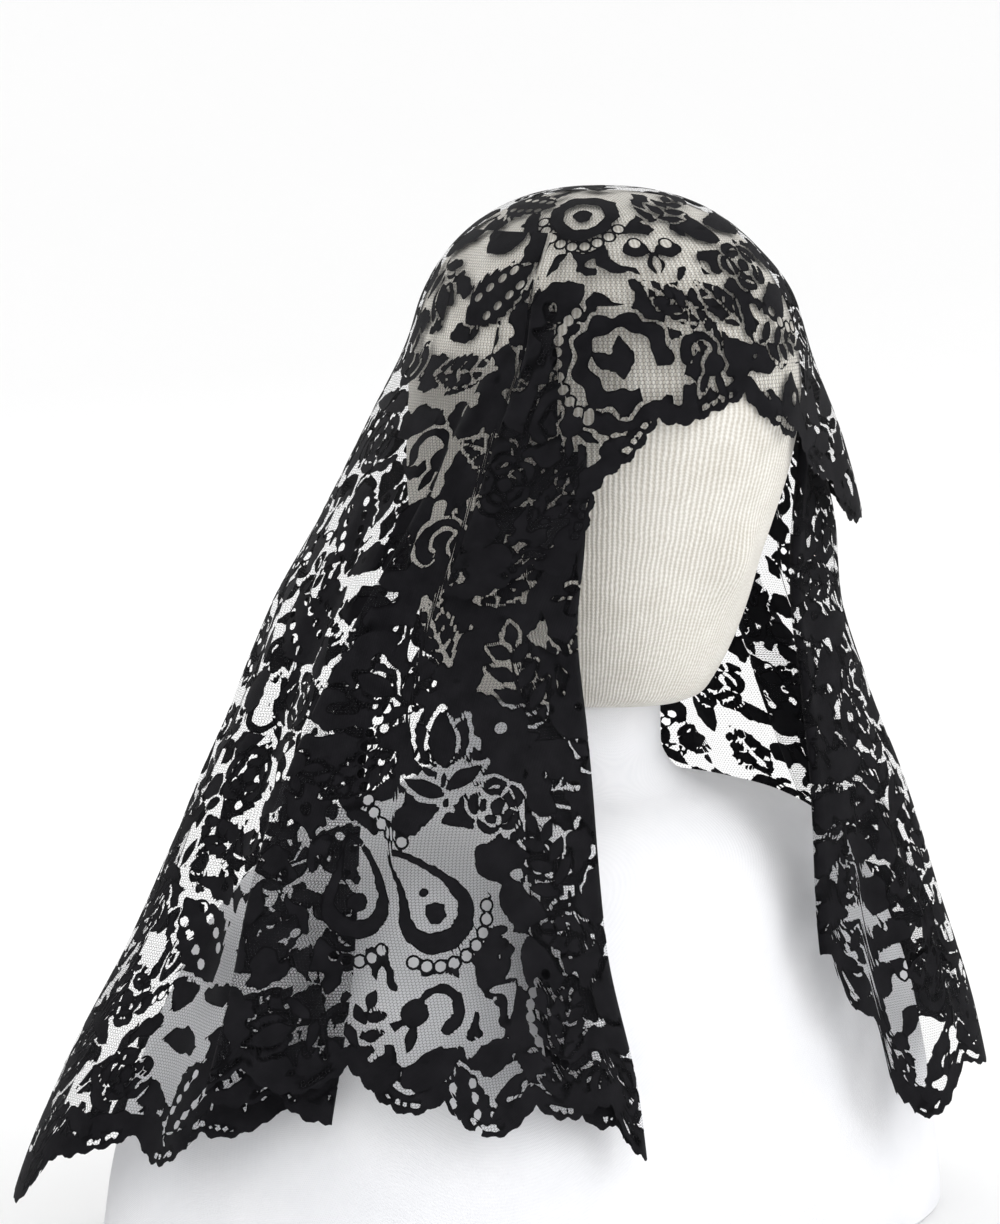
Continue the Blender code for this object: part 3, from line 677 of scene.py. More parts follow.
def grid_mesh(places: Array) -> FineMesh:
    """Two triangles for each cell of a grid of places, shape (rows, columns, 2).

    Args:
        places: the grid.

    Returns:
        The mesh, whose cells are halved along alternate diagonals.
    """
    rows, columns = places.shape[:2]
    index = np.arange(rows * columns).reshape(rows, columns)
    corners = (index[:-1, :-1], index[1:, :-1], index[1:, 1:], index[:-1, 1:])
    a, b, c, d = (t.ravel() for t in corners)
    odd = (np.arange(rows - 1)[:, None] + np.arange(columns - 1)[None, :]).ravel() % 2 == 1
    first = np.where(odd[:, None], np.stack([a, b, c], 1), np.stack([a, b, d], 1))
    second = np.where(odd[:, None], np.stack([a, c, d], 1), np.stack([b, c, d], 1))
    return FineMesh(places.reshape(-1, 2), np.concatenate([first, second]))


# The lace's figures


class Figure(Enum):
    """The kinds of figure worked into the net."""

    PAISLEY = "paisley"
    ROSE = "rose"
    LEAF = "leaf"
    WINDOW_LEAF = "window leaf"
    SPRAY = "spray"
    BUD = "bud"
    CURL = "curl"
    RING = "ring"
    WREATH = "wreath"
    PETALS = "petals"


def turned(x: Array, y: Array, degrees: float) -> tuple[Array, Array]:
    """The coordinates in axes turned by this many degrees."""
    c, s = math.cos(math.radians(degrees)), math.sin(math.radians(degrees))
    return c * x + s * y, c * y - s * x


def leaf_level(x: Array, y: Array, length: float, width: float, teeth: int = 0) -> Array:
    """Distance inside a pointed leaf from (0, 0) along y.

    The half width is width * sin(pi * t^0.85), with saw teeth added, at t of the leaf's length.

    Args:
        x: beside the leaf's middle line.
        y: along it.
        length: the leaf's length.
        width: half its greatest width.
        teeth: how many teeth each side has.

    Returns:
        The level, below 0 outside.
    """
    t = np.clip(y / length, 0.0, 1.0)
    saw = 1.0 + (0.22 * ((t * teeth) % 1.0 - 0.5) if teeth else 0.0)
    half = width * np.sin(math.pi * t**0.85) * saw
    past = np.maximum(-y, y - length)
    return np.where(past > 0, -np.hypot(x, past), half - np.abs(x))


def apart(level: Array, own: Array, gap: float) -> Array:
    """Lays one figure over what is there: its level wins, inside a clear gap round it."""
    return np.maximum(own, np.minimum(level, -own - gap))


@dataclass(frozen=True)
class Motif:
    """One figure: where it is on the cloth, its size in metres, its turn and its kind.

    Its clearing is the width of plain net round it, in the layout's usual gaps. Its shape is drawn
    in unit lengths.
    """

    figure: Figure
    across: float
    down: float
    size: float
    turn: float = 0.0
    flip: bool = False
    clearing: float = 1.0

    def own_axes(self, x: Array, y: Array) -> tuple[Array, Array]:
        """Cloth coordinates, in metres from its middle, as the figure's own unit lengths."""
        return turned((-x if self.flip else x) / self.size, -y / self.size, self.turn)

    def levels(self, x: Array, y: Array) -> tuple[Array, Array]:
        """The figure's level on cloth coordinates in metres.

        Args:
            x: metres across the cloth from the figure's middle.
            y: metres down the cloth from there.

        Returns:
            Two levels in metres, above 0 inside: the whole outline, and the worked cloth in it.
        """
        x, y = self.own_axes(x, y)
        shape = getattr(self, "_" + self.figure.name.lower())
        outline, worked = shape(x, y)
        return outline * self.size, worked * self.size

    @staticmethod
    def _paisley(x: Array, y: Array) -> tuple[Array, Array]:
        """A drop whose axis bends, as a ring round net with a ragged spot in it.

        The drop is the union of discs of radius 0.86 (1 - t)^0.8 along (0.5 t^2, 1.8 t), and the
        net in it is the same drop at 0.62 of the radius, moved 0.16 towards the point.

        Args:
            x: across.
            y: up.

        Returns:
            Both levels, the outline's first.
        """
        t = np.linspace(0.0, 0.97, 16)
        reach = 0.86 * (1 - t) ** 0.8
        beside = x[..., None] - 0.5 * t**2
        drop = (reach - np.hypot(beside, y[..., None] - 1.8 * t)).max(-1)
        net = (0.62 * reach - np.hypot(beside, y[..., None] - 1.55 * t - 0.16)).max(-1)
        around = np.arctan2(y - 0.06, x)
        spot = 0.25 + 0.015 * np.sin(7 * around) - np.hypot(x, y - 0.06)
        speck = 0.11 - np.hypot(x - 0.06, y - 0.58)
        return drop, np.maximum(np.minimum(drop, -net), np.maximum(spot, speck))

    @staticmethod
    def _ring(x: Array, y: Array) -> tuple[Array, Array]:
        """A broad closed ring with a wavy outline, and a spot in its middle.

        Args:
            x: across.
            y: up.

        Returns:
            Both levels, the outline's first.
        """
        r, a = np.hypot(x, y), np.arctan2(y, x)
        outline = 0.97 + 0.03 * np.cos(9 * a) - r
        inner = r - 0.58 - 0.02 * np.cos(7 * a)
        return outline, np.maximum(np.minimum(outline, inner), 0.27 - r)

    @staticmethod
    def _wreath(x: Array, y: Array) -> tuple[Array, Array]:
        """A ragged ring, open at its lower right, round net with a toothed leaf on a stem in it.

        Args:
            x: across.
            y: up.

        Returns:
            Both levels, the outline's first.
        """
        r, a = np.hypot(x, y), np.arctan2(y, x)
        outline = 0.93 + 0.07 * np.cos(9 * a) - r
        ring = np.minimum(outline, r - 0.60 - 0.05 * np.cos(7 * a + 1.0))
        ring = np.minimum(ring, np.hypot(x - 0.80, y + 0.55) - 0.42)
        u, v = turned(x - 0.06, y + 0.40, 8.0)
        leaf = leaf_level(u, v, 0.85, 0.22, 5)
        u, v = turned(x - 0.02, y + 0.25, 60.0)
        leaf = np.maximum(leaf, leaf_level(u, v, 0.80, 0.15, 4))
        return outline, np.maximum(ring, leaf)

    @staticmethod
    def _rose(x: Array, y: Array) -> tuple[Array, Array]:
        """Five lobes, r = 0.76 + 0.24 |cos 2.5a|^0.7, parted by net lines round a middle.

        Args:
            x: across.
            y: up.

        Returns:
            Both levels, the outline's first.
        """
        r, a = np.hypot(x, y), np.arctan2(y, x)
        lobes = np.abs(np.cos(2.5 * a))
        outline = 0.76 + 0.24 * lobes**0.7 - r
        gaps = lobes * np.maximum(r, 0.2) * 0.4 - 0.055
        inner = np.where(r > 0.34, gaps, 0.1)
        worked = np.minimum(outline, np.minimum(inner, np.abs(r - 0.32) - 0.05))
        arc = np.where(lobes > 0.45, np.abs(r - 0.66) - 0.04, 0.1)
        return outline, np.minimum(worked, arc)

    @staticmethod
    def _leaf(x: Array, y: Array) -> tuple[Array, Array]:
        """A toothed leaf with an open midrib and slanting veins.

        Args:
            x: across.
            y: up.

        Returns:
            Both levels, the outline's first.
        """
        outline = leaf_level(x, y + 1.0, 2.0, 0.46, 9)
        rib = np.abs(x) - 0.045
        slant = np.abs(((y - 0.7 * np.abs(x)) * 2.4) % 1.0 - 0.5) / 2.4 - 0.035
        veins = np.where(np.abs(x) < 0.30, slant, 0.1)
        return outline, np.minimum(outline, np.minimum(rib, veins))

    @staticmethod
    def _window_leaf(x: Array, y: Array) -> tuple[Array, Array]:
        """A broad toothed leaf; its two columns of windows are cut apart from the outline."""
        outline = leaf_level(x, y + 1.0, 2.0, 0.58, 8)
        return outline, outline

    @staticmethod
    def _spray(x: Array, y: Array) -> tuple[Array, Array]:
        """A bent stem, x = 0.25 y^2, with seven leaves at its sides and tip.

        Args:
            x: across.
            y: up.

        Returns:
            Both levels, the outline's first.
        """
        level = np.minimum(0.035 - np.abs(x - 0.25 * y**2), 1.0 - np.abs(y))
        leaves = ((-0.75, 1), (-0.55, -1), (-0.2, 1), (0.0, -1), (0.35, 1), (0.5, -1), (0.75, 0))
        for along, side in leaves:
            u, v = turned(x - 0.25 * along**2, y - along, -52.0 * side)
            level = np.maximum(level, leaf_level(u, v, 0.72 - 0.18 * along, 0.17))
        return level, level

    @staticmethod
    def _bud(x: Array, y: Array) -> tuple[Array, Array]:
        """A tulip bud: two outer petals behind a middle one, on a stem with two leaves.

        Args:
            x: across.
            y: up.

        Returns:
            Both levels, the outline's first.
        """
        level = np.minimum(0.05 - np.abs(x), np.minimum(-y, y + 0.95))
        for degrees, length, width, foot in (
            (-62.0, 0.85, 0.16, -0.72),
            (62.0, 0.85, 0.16, -0.60),
            (-26.0, 1.05, 0.26, -0.20),
            (26.0, 1.05, 0.26, -0.20),
            (0.0, 1.15, 0.27, -0.20),
        ):
            u, v = turned(x, y - foot, degrees)
            level = apart(level, leaf_level(u, v, length, width), 0.05)
        return np.where(level > -0.08, 0.05, level), level

    @staticmethod
    def _curl(x: Array, y: Array) -> tuple[Array, Array]:
        """A round knob, a band that leaves it along r = 0.60 and hooks over, and two leaves.

        Args:
            x: across.
            y: up.

        Returns:
            Both levels, the outline's first.
        """
        r, a = np.hypot(x, y), np.degrees(np.arctan2(y, x))
        past = np.maximum(0.0, -70.0 - a) / 57.0
        band = 0.22 - 0.0006 * (a + 70.0) - np.abs(r - 0.60) - past
        knob = 0.42 - np.hypot(x + 0.72, y + 0.05)
        level = np.maximum(band, knob)
        for px, py, degrees, length in ((-0.95, -0.25, 118.0, 0.95), (-0.70, -0.40, 170.0, 0.85)):
            u, v = turned(x - px, y - py, degrees)
            level = np.maximum(level, leaf_level(u, v, length, 0.17))
        return level, level

    @staticmethod
    def _petals(x: Array, y: Array) -> tuple[Array, Array]:
        """Two oval petals side by side, whose stems meet below them.

        Args:
            x: across.
            y: up.

        Returns:
            Both levels, the outline's first.
        """
        level = np.full(x.shape, -1.0)
        for side in (-1, 1):
            oval = np.hypot((x - 0.78 * side) / 0.66, (y + 0.32) / 0.46)
            stem = 0.08 - np.abs(x - side * (0.18 + 0.14 * np.sin(4.0 * y)))
            stem = np.minimum(stem, np.minimum(-0.55 - y, y + 1.75))
            level = np.maximum.reduce([level, (1.0 - oval) * 0.5, stem])
        return level, level


def chance(column: Array, row: Array, seed: float = 0.0) -> Array:
    """A number from 0 to 1 for each lattice cell, the same every time."""
    return (np.sin(column * 12.9898 + row * 78.233 + seed * 37.719) * 437.585) % 1.0


def soft_noise(x: Array, y: Array, size: float, seed: float) -> Array:
    """Even noise from -1 to 1: each lattice corner's chance, blended by smooth steps between.

    Args:
        x: metres across.
        y: metres down.
        size: metres between two lattice corners.
        seed: picks one of many such noises.

    Returns:
        The noise at every place.
    """
    u, v = x / size, y / size
    i, j = np.floor(u), np.floor(v)
    s, t = ease(u - i), ease(v - j)
    low = chance(i, j, seed) * (1 - s) + chance(i + 1, j, seed) * s
    high = chance(i, j + 1, seed) * (1 - s) + chance(i + 1, j + 1, seed) * s
    return 2 * (low * (1 - t) + high * t) - 1


@dataclass(frozen=True)
class Foliage:
    """Broad ragged leaves laid over the ground, merged where it is dense.

    The pitch is metres between two leaves of a row, and a leaf's half width and half length are
    shares of it. Each noise is its depth in metres, its size in metres and its seed.
    """

    pitch: float = 0.0250
    row_closeness: float = 1.1
    half_width: float = 0.33
    half_length: float = 0.66
    parting: float = 0.02
    dropped: float = 0.35
    kept_chance: tuple[float, float] = (0.35, 0.8)
    even_density: float = 0.45
    density_growth: float = 0.0030
    bends: Rows = ((0.0030, 0.017, 5.0), (0.0014, 0.0055, 6.0))
    ragged: Rows = ((0.0012, 0.0034, 1.0), (0.0008, 0.0021, 3.0))
    window: tuple[float, float, float] = (0.0060, 0.0075, 7.0)
    window_share: float = 0.58

    def leaves(self, u: Array, v: Array, density: Array) -> tuple[Array, Array]:
        """The best and the second best leaf's level at each place, in pitches.

        A leaf is where two equal discs overlap: R - hypot(|x| + R - w, y), with
        R = (w^2 + l^2) / 2w. Leaves whose chance is high are dropped where the ground is open.

        Args:
            u: pitches across the cloth.
            v: rows down the cloth.
            density: 0 for open ground with few leaves, 1 for almost closed.

        Returns:
            The two levels.
        """
        best, second = np.full(u.shape, -9.0), np.full(u.shape, -9.0)
        open_chance, dense_chance = self.kept_chance
        radius = (self.half_width**2 + self.half_length**2) / (2 * self.half_width)
        for i, j in ((i, j) for i in (-1, 0, 1) for j in (-1, 0, 1)):
            row = np.floor(v) + j
            column = np.floor(u - 0.5 * (row % 2)) + i
            turn = chance(column, row) * 2 * math.pi
            x, y = u - column - 0.5 - 0.5 * (row % 2), v - row - 0.5
            c, s = np.cos(turn), np.sin(turn)
            beside, along = np.abs(c * x + s * y) + radius - self.half_width, c * y - s * x
            missing = chance(column, row, 2.0) - open_chance - dense_chance * density
            missing = np.maximum(0.0, missing)
            level = radius - np.hypot(beside, along) - self.dropped * missing
            second = np.maximum(second, np.minimum(best, level))
            best = np.maximum(best, level)
        return best, second

    def level(self, x: Array, y: Array, density: Array) -> Array:
        """The foliage's level.

        It is the best leaf's, or half its lead over the next less a gap, if that is less, with two
        sizes of noise for the ragged outline, and windows where a third noise is high.

        Args:
            x: metres across the cloth.
            y: metres down the cloth.
            density: 0 for open ground with few leaves, 1 for almost closed.

        Returns:
            The level in metres, above 0 in the leaves.
        """
        first, second = (depth * soft_noise(x, y, size, seed) for depth, size, seed in self.bends)
        bent = first + second
        u, v = (x + bent) / self.pitch, (y - bent) / self.pitch * self.row_closeness
        best, next_best = self.leaves(u, v, density)
        level = np.minimum(best, (best - next_best) * 0.5 - self.parting) * self.pitch
        level = level + (density - self.even_density) * self.density_growth
        for depth, size, seed in self.ragged:
            level = level + depth * soft_noise(x, y, size, seed)
        depth, size, seed = self.window
        return np.minimum(level, (self.window_share - soft_noise(x, y, size, seed)) * depth)


CHAIN_SPAN = 25.0


@dataclass(frozen=True)
class BeadChain:
    """Round gaps along an arc: its centre on the cloth, its radius, bearings and the gaps' size."""

    across: float
    down: float
    arc: float
    first: float
    last: float
    count: int
    gap: float = 0.0024

    def offsets(self) -> Array:
        """Metres across and down the cloth from the arc's centre to each gap."""
        bearings = np.radians(np.linspace(self.first, self.last, self.count))
        return self.arc * np.stack([np.sin(bearings), np.cos(bearings)], -1)

    def middles(self, cloth: ClothMap) -> Array:
        """The gaps' middles in the cloth's own coordinates, each found along its own row.

        Args:
            cloth: the cloth's map.

        Returns:
            One place for each gap.
        """
        offsets = self.offsets()
        centre = np.array([self.across, self.down])
        downs = self.down + cloth.down_sign * offsets[:, 1] / cloth.down_rate(centre)
        fine = self.across + np.linspace(-CHAIN_SPAN, CHAIN_SPAN, 201)
        found = []
        for down, x in zip(downs, offsets[:, 0]):
            row = cloth.table.read(fine, np.full(len(fine), down))
            found.append(np.interp(np.interp(self.across, fine, row) + x, row, fine))
        return np.stack([found, downs], -1)


@dataclass
class LaceLayout:
    """Everything worked into one cloth surface: its figures, bead chains and border.

    The down scale is the metres down the cloth for a unit of its second coordinate, taken as even.
    A strip is the degrees of the cloth whose foliage is measured from one middle line.
    """

    cloth: ClothMap
    motifs: Iterable[Motif]
    chains: tuple[BeadChain, ...]
    density: Callable[[Array, Array], Array]
    down_scale: float
    foliage: Foliage = Foliage()
    strip: float = 36.0
    strip_shift: float = 0.31
    strip_overlap: float = 0.06
    strip_drop: float = 0.02
    figure_reach: float = 2.2
    figure_gap: float = 0.0016
    bead_reach: float = 0.006
    bead_cord: float = 0.0010
    leaf_windows: tuple[float, ...] = (-0.42, -0.08, 0.26, 0.56)
    leaf_window_aside: float = 0.26
    leaf_window: tuple[float, float] = (0.085, 0.115)
    leaf_taper: float = 0.35
    leaf_reach: float = 1.1
    nothing_open: float = 0.01
    outline_size: float = 0.0028
    outline_depth: float = 0.0007
    border_rows: tuple[float, float, float] = (0.0022, 0.0048, 0.0070)
    border_margin: float = 0.0008
    bar_overlap: float = 0.0004
    border_net: float = -0.0012
    bar_pitch: float = 0.0046
    half_window: float = 0.0015
    plain_depth: float = 0.0040
    plain_pitch: float = 0.046

    def near(self, places: Array, centre: Array, reach: float) -> Array:
        """Indices of the places that are within a box of this reach round a centre, in metres.

        Args:
            places: own coordinates.
            centre: the box's middle.
            reach: half the box's side.

        Returns:
            The indices.
        """
        rate = self.cloth.down_rate(centre)
        rows = np.flatnonzero(np.abs(places[:, 1] - centre[1]) * rate < reach)
        x, _ = self.cloth.local(places[rows], centre)
        return rows[np.abs(x) < reach]

    def open_level(self, places: Array) -> Array:
        """Distance outside the nearest gap, in metres: above 0 where there is cloth.

        For a bead it is the distance to its middle less its radius, and for a window leaf's oval
        windows, closer together towards its tip, (hypot(x / a, y / b) - 1) times the lesser half
        width.

        Args:
            places: own coordinates.

        Returns:
            The level at every place.
        """
        level = np.full(len(places), self.nothing_open)
        wide, tall = self.leaf_window
        for chain in self.chains:
            for middle in chain.middles(self.cloth):
                rows = self.near(places, middle, self.bead_reach)
                x, y = self.cloth.local(places[rows], middle)
                level[rows] = np.minimum(level[rows], np.hypot(x, y) - chain.gap)
        for motif in (m for m in self.motifs if m.figure is Figure.WINDOW_LEAF):
            centre = np.array([motif.across, motif.down])
            rows = self.near(places, centre, motif.size * self.leaf_reach)
            x, y = motif.own_axes(*self.cloth.local(places[rows], centre))
            for up in self.leaf_windows:
                aside = self.leaf_window_aside * (1.0 - self.leaf_taper * max(up, 0.0))
                for middle in (-aside, aside):
                    oval = (np.hypot((x - middle) / wide, (y - up) / tall) - 1) * wide * motif.size
                    level[rows] = np.minimum(level[rows], oval)
        return level

    def ground(self, places: Array, edge: Array) -> Array:
        """The foliage's level, in strips of the cloth that are each measured from a middle line.

        The leaves stay upright along that line, however much wider the cloth is at its hem. Where
        two strips meet, the leaves of both lie over each other and then end.

        Args:
            places: own coordinates.
            edge: metres in from the lower edge.

        Returns:
            The level at every place.
        """
        density = self.density(places, edge)
        down = places[:, 1] * self.down_scale
        strips = places[:, 0] / self.strip
        level = np.full(len(places), -1.0)
        for side in (-1, 0, 1):
            middle = np.floor(strips + 0.5) + side
            away = np.abs(strips - middle)
            rows = np.flatnonzero(away < 0.5 + self.strip_overlap)
            line = np.stack([middle[rows] * self.strip, places[rows, 1]], -1)
            x = self.cloth.across(places[rows]) - self.cloth.across(line)
            x = x + self.strip_shift * middle[rows]
            own = self.foliage.level(x, down[rows], density[rows])
            own = own - self.strip_drop * ease((away[rows] - 0.5) / self.strip_overlap)
            level[rows] = np.maximum(level[rows], own)
        return level

    def worked_level(self, places: Array, edge: Array, along: Array) -> Array:
        """The level of the worked cloth in metres: above 0 in it, below 0 in the net.

        The foliage comes first; each figure is laid over what is there, then the beads' cords, and
        the border last: a cord, here and there a row of windows parted by bars, and a second cord.

        Args:
            places: own coordinates.
            edge: metres in from the lower edge.
            along: metres along the lower edge.

        Returns:
            The level at every place.
        """
        level = self.ground(places, edge)
        across, down = self.cloth.across(places), places[:, 1] * self.down_scale
        ragged = self.outline_depth * soft_noise(across, down, self.outline_size, 9.0)
        for motif in self.motifs:
            centre = np.array([motif.across, motif.down])
            rows = self.near(places, centre, motif.size * self.figure_reach)
            outline, worked = motif.levels(*self.cloth.local(places[rows], centre))
            outline, worked = outline + ragged[rows], worked + ragged[rows]
            gap = self.figure_gap * motif.clearing
            cleared = np.minimum(level[rows], -outline - gap)
            level[rows] = np.where(outline > 0, worked, np.maximum(worked, cleared))
        level = np.maximum(level, self.bead_cord - self.open_level(places))
        cord, inner, outer = self.border_rows
        bars = np.abs((along / self.bar_pitch) % 1.0 - 0.5) * self.bar_pitch - self.half_window
        border = np.maximum(cord - edge, np.minimum(edge - inner, outer - edge))
        border = np.maximum(border, np.minimum(bars, inner + self.bar_overlap - edge))
        wave = np.sin(2 * math.pi * along / self.plain_pitch + 1.0)
        border = np.maximum(border, self.plain_depth * (0.25 - wave)) + ragged
        inside = np.maximum(level, outer + self.border_margin - edge)
        return np.where(edge < outer, np.maximum(border, self.border_net), inside)


# Columns: lay angle, height, the arc's radius, its first and last bearing, how many gaps
FALL_CHAINS = tuple(
    BeadChain(*row)
    for row in (
        (69.1, 0.2535, 0.0399, 28.0, 127.0, 12),
        (82.5, 0.1880, 0.0165, -50.0, 32.0, 5),
        (70.1, 0.1924, 0.0223, -99.0, 27.0, 9),
        (49.6, 0.1450, 0.0221, 25.0, 154.0, 10),
        (134.0, 0.1900, 0.0300, -60.0, 60.0, 11),
        (150.0, 0.3400, 0.0240, -70.0, 70.0, 10),
        (180.0, 0.2200, 0.0360, -80.0, 80.0, 17),
        (205.0, 0.3400, 0.0240, -70.0, 70.0, 10),
        (152.0, 0.1300, 0.0220, -70.0, 70.0, 9),
        (213.0, 0.1300, 0.0220, -70.0, 70.0, 9),
        (240.0, 0.2400, 0.0260, -80.0, 60.0, 11),
        (250.0, 0.1300, 0.0180, -70.0, 70.0, 8),
        (288.0, 0.2700, 0.0200, -80.0, 60.0, 9),
        (316.4, 0.1211, 0.0202, 121.0, 240.0, 8),
    )
)


def reach_of(height: float) -> float:
    """The crown's reach at one height."""
    return float(CROWN.reach(np.array(height)))


# Columns: bearing, height, then as above, and where it differs the gaps' radius
CROWN_CHAINS = tuple(
    BeadChain(bearing, reach_of(height), *rest)
    for bearing, height, *rest in (
        (47.5, 0.4274, 0.0271, 21.0, 139.0, 11),
        (62.9, 0.4865, 0.0198, -63.0, 74.0, 9),
        (33.0, 0.4750, 0.0070, -90.0, 90.0, 2, 0.0026),
        (-12.0, 0.4520, 0.0160, -60.0, 60.0, 6),
    )
)

# Columns: kind, lay angle, height, size, turn, whether it is flipped, clearing
FALL_FIGURES = tuple(
    Motif(*row)
    for row in (
        (Figure.PAISLEY, 70.2, 0.1925, 0.0195, -24.0, False, 5.0),
        (Figure.PAISLEY, 82.6, 0.1960, 0.0180, 4.0, False, 3.0),
        (Figure.BUD, 70.5, 0.2560, 0.0240, -8.0),
        (Figure.LEAF, 50.5, 0.1450, 0.0200, 25.0),
        (Figure.WINDOW_LEAF, 106.5, 0.1730, 0.0250, -45.0, False, 2.0),
        (Figure.WINDOW_LEAF, 110.0, 0.3030, 0.0230, -45.0),
        (Figure.ROSE, 102.5, 0.2730, 0.0140),
        (Figure.ROSE, 108.5, 0.2400, 0.0140, 20.0),
        (Figure.ROSE, 113.0, 0.1450, 0.0140, 40.0),
        (Figure.ROSE, 109.5, 0.1150, 0.0130),
        (Figure.CURL, 69.5, 0.1545, 0.0150, 0.0, True, 3.0),
        (Figure.SPRAY, 80.5, 0.1430, 0.0170, 20.0, False, 2.0),
        (Figure.SPRAY, 50.0, 0.2110, 0.0190, -20.0),
        (Figure.SPRAY, 56.0, 0.2880, 0.0200, 15.0, True),
        (Figure.CURL, 81.5, 0.3460, 0.0150),
        (Figure.ROSE, 60.0, 0.2360, 0.0130, 10.0),
        (Figure.LEAF, 60.0, 0.3300, 0.0170, 60.0),
        (Figure.LEAF, 76.0, 0.3080, 0.0170, -35.0),
        (Figure.ROSE, 92.0, 0.3350, 0.0140),
        (Figure.BUD, 96.5, 0.2100, 0.0180, -20.0),
        (Figure.SPRAY, 318.5, 0.2310, 0.0190),
        (Figure.ROSE, 318.5, 0.2690, 0.0140),
        (Figure.LEAF, 330.5, 0.1810, 0.0160),
        (Figure.CURL, 317.5, 0.1330, 0.0120),
    )
)

# Columns: kind, bearing, height, then as above
CROWN_FIGURES = tuple(
    Motif(figure, bearing, reach_of(height), *rest)
    for figure, bearing, height, *rest in (
        (Figure.WREATH, 46.0, 0.4262, 0.0235, 0.0, True, 1.2),
        (Figure.RING, 62.9, 0.4865, 0.0168, 0.0, True, 4.0),
        (Figure.PETALS, 33.0, 0.4745, 0.0092, 0.0, True, 4.0),
        (Figure.LEAF, 31.5, 0.4515, 0.0150, 50.0, True, 0.5),
        (Figure.LEAF, 22.0, 0.4370, 0.0150, 20.0, True, 0.5),
        (Figure.CURL, 62.0, 0.3980, 0.0130),
        (Figure.ROSE, 70.0, 0.3720, 0.0140),
        (Figure.LEAF, 58.0, 0.3660, 0.0150, 30.0),
        (Figure.SPRAY, 19.0, 0.4880, 0.0150, 40.0),
        (Figure.LEAF, 16.0, 0.4500, 0.0150, -40.0),
        (Figure.CURL, 24.0, 0.4290, 0.0120, 40.0),
        (Figure.ROSE, 0.5, 0.4650, 0.0135),
        (Figure.SPRAY, -3.0, 0.4300, 0.0145, 90.0),
        (Figure.LEAF, -24.0, 0.4200, 0.0150, 40.0),
        (Figure.ROSE, -44.0, 0.4300, 0.0145),
        (Figure.PAISLEY, -40.0, 0.4720, 0.0145, 30.0),
        (Figure.BUD, -60.0, 0.3950, 0.0170),
        (Figure.CURL, -48.0, 0.3770, 0.0120),
        (Figure.LEAF, -66.0, 0.4400, 0.0150, -20.0),
        (Figure.ROSE, -70.0, 0.4800, 0.0140),
        (Figure.WINDOW_LEAF, 110.0, 0.4900, 0.0170, 90.0),
        (Figure.ROSE, 180.0, 0.4935, 0.0130),
        (Figure.WINDOW_LEAF, -110.0, 0.4900, 0.0170, -90.0),
    )
)


@dataclass(frozen=True)
class FallGround:
    """How closed the falls' ground is, from 0 for open net to 1.6 for closed cloth."""

    by_hem: Ramp = Ramp(0.012, 0.018)
    by_near_edge: Ramp = Ramp(58.0, 8.0)
    by_far_edge: Ramp = Ramp(318.0, 8.0)
    over_shoulder: Ramp = Ramp(0.232, 0.012)
    to_side_pleat: Ramp = Ramp(84.0, 5.0)
    side_starts: Ramp = Ramp(90.0, 4.0)
    side_ends: Ramp = Ramp(130.0, 10.0)
    low_on_side: Ramp = Ramp(0.235, -0.03)
    low: Ramp = Ramp(0.22, -0.06)
    high: Ramp = Ramp(0.26, 0.10)
    side_opened: tuple[float, float] = (0.16, 0.30)
    high_closed: float = 0.15
    low_opened: float = 0.12
    closed: float = 1.6
    patches: tuple[float, float] = (0.40, 0.60)
    patch_share: float = 0.55
    patch_size: float = 0.045
    metres_for_degree: float = 0.0028

    def density(self, places: Array, edge: Array) -> Array:
        """Most closed by the hem and the front edges, least between, in soft patches.

        Args:
            places: lay angles and heights.
            edge: metres in from the hem.

        Returns:
            The density at every place.
        """
        lay, height = places[:, 0], places[:, 1]
        by_hem = 1.0 - self.by_hem.at(edge)
        by_front = np.maximum(1.0 - self.by_near_edge.at(lay), self.by_far_edge.at(lay))
        above = self.over_shoulder.at(height) * (1.0 - self.to_side_pleat.at(lay)) * self.closed
        everywhere, below = self.side_opened
        side = (everywhere + below * self.low_on_side.at(height)) * self.side_starts.at(lay)
        side = side * (1.0 - self.side_ends.at(lay))
        noise = soft_noise(lay * self.metres_for_degree, height, self.patch_size, 11.0)
        patches = (self.patches[0] + self.patches[1] * noise) * self.patch_share
        ground = patches + self.high_closed * self.high.at(height) - side
        ground = ground - self.low_opened * self.low.at(height)
        return np.clip(np.maximum.reduce([by_hem, by_front, above, ground]), 0.0, self.closed)


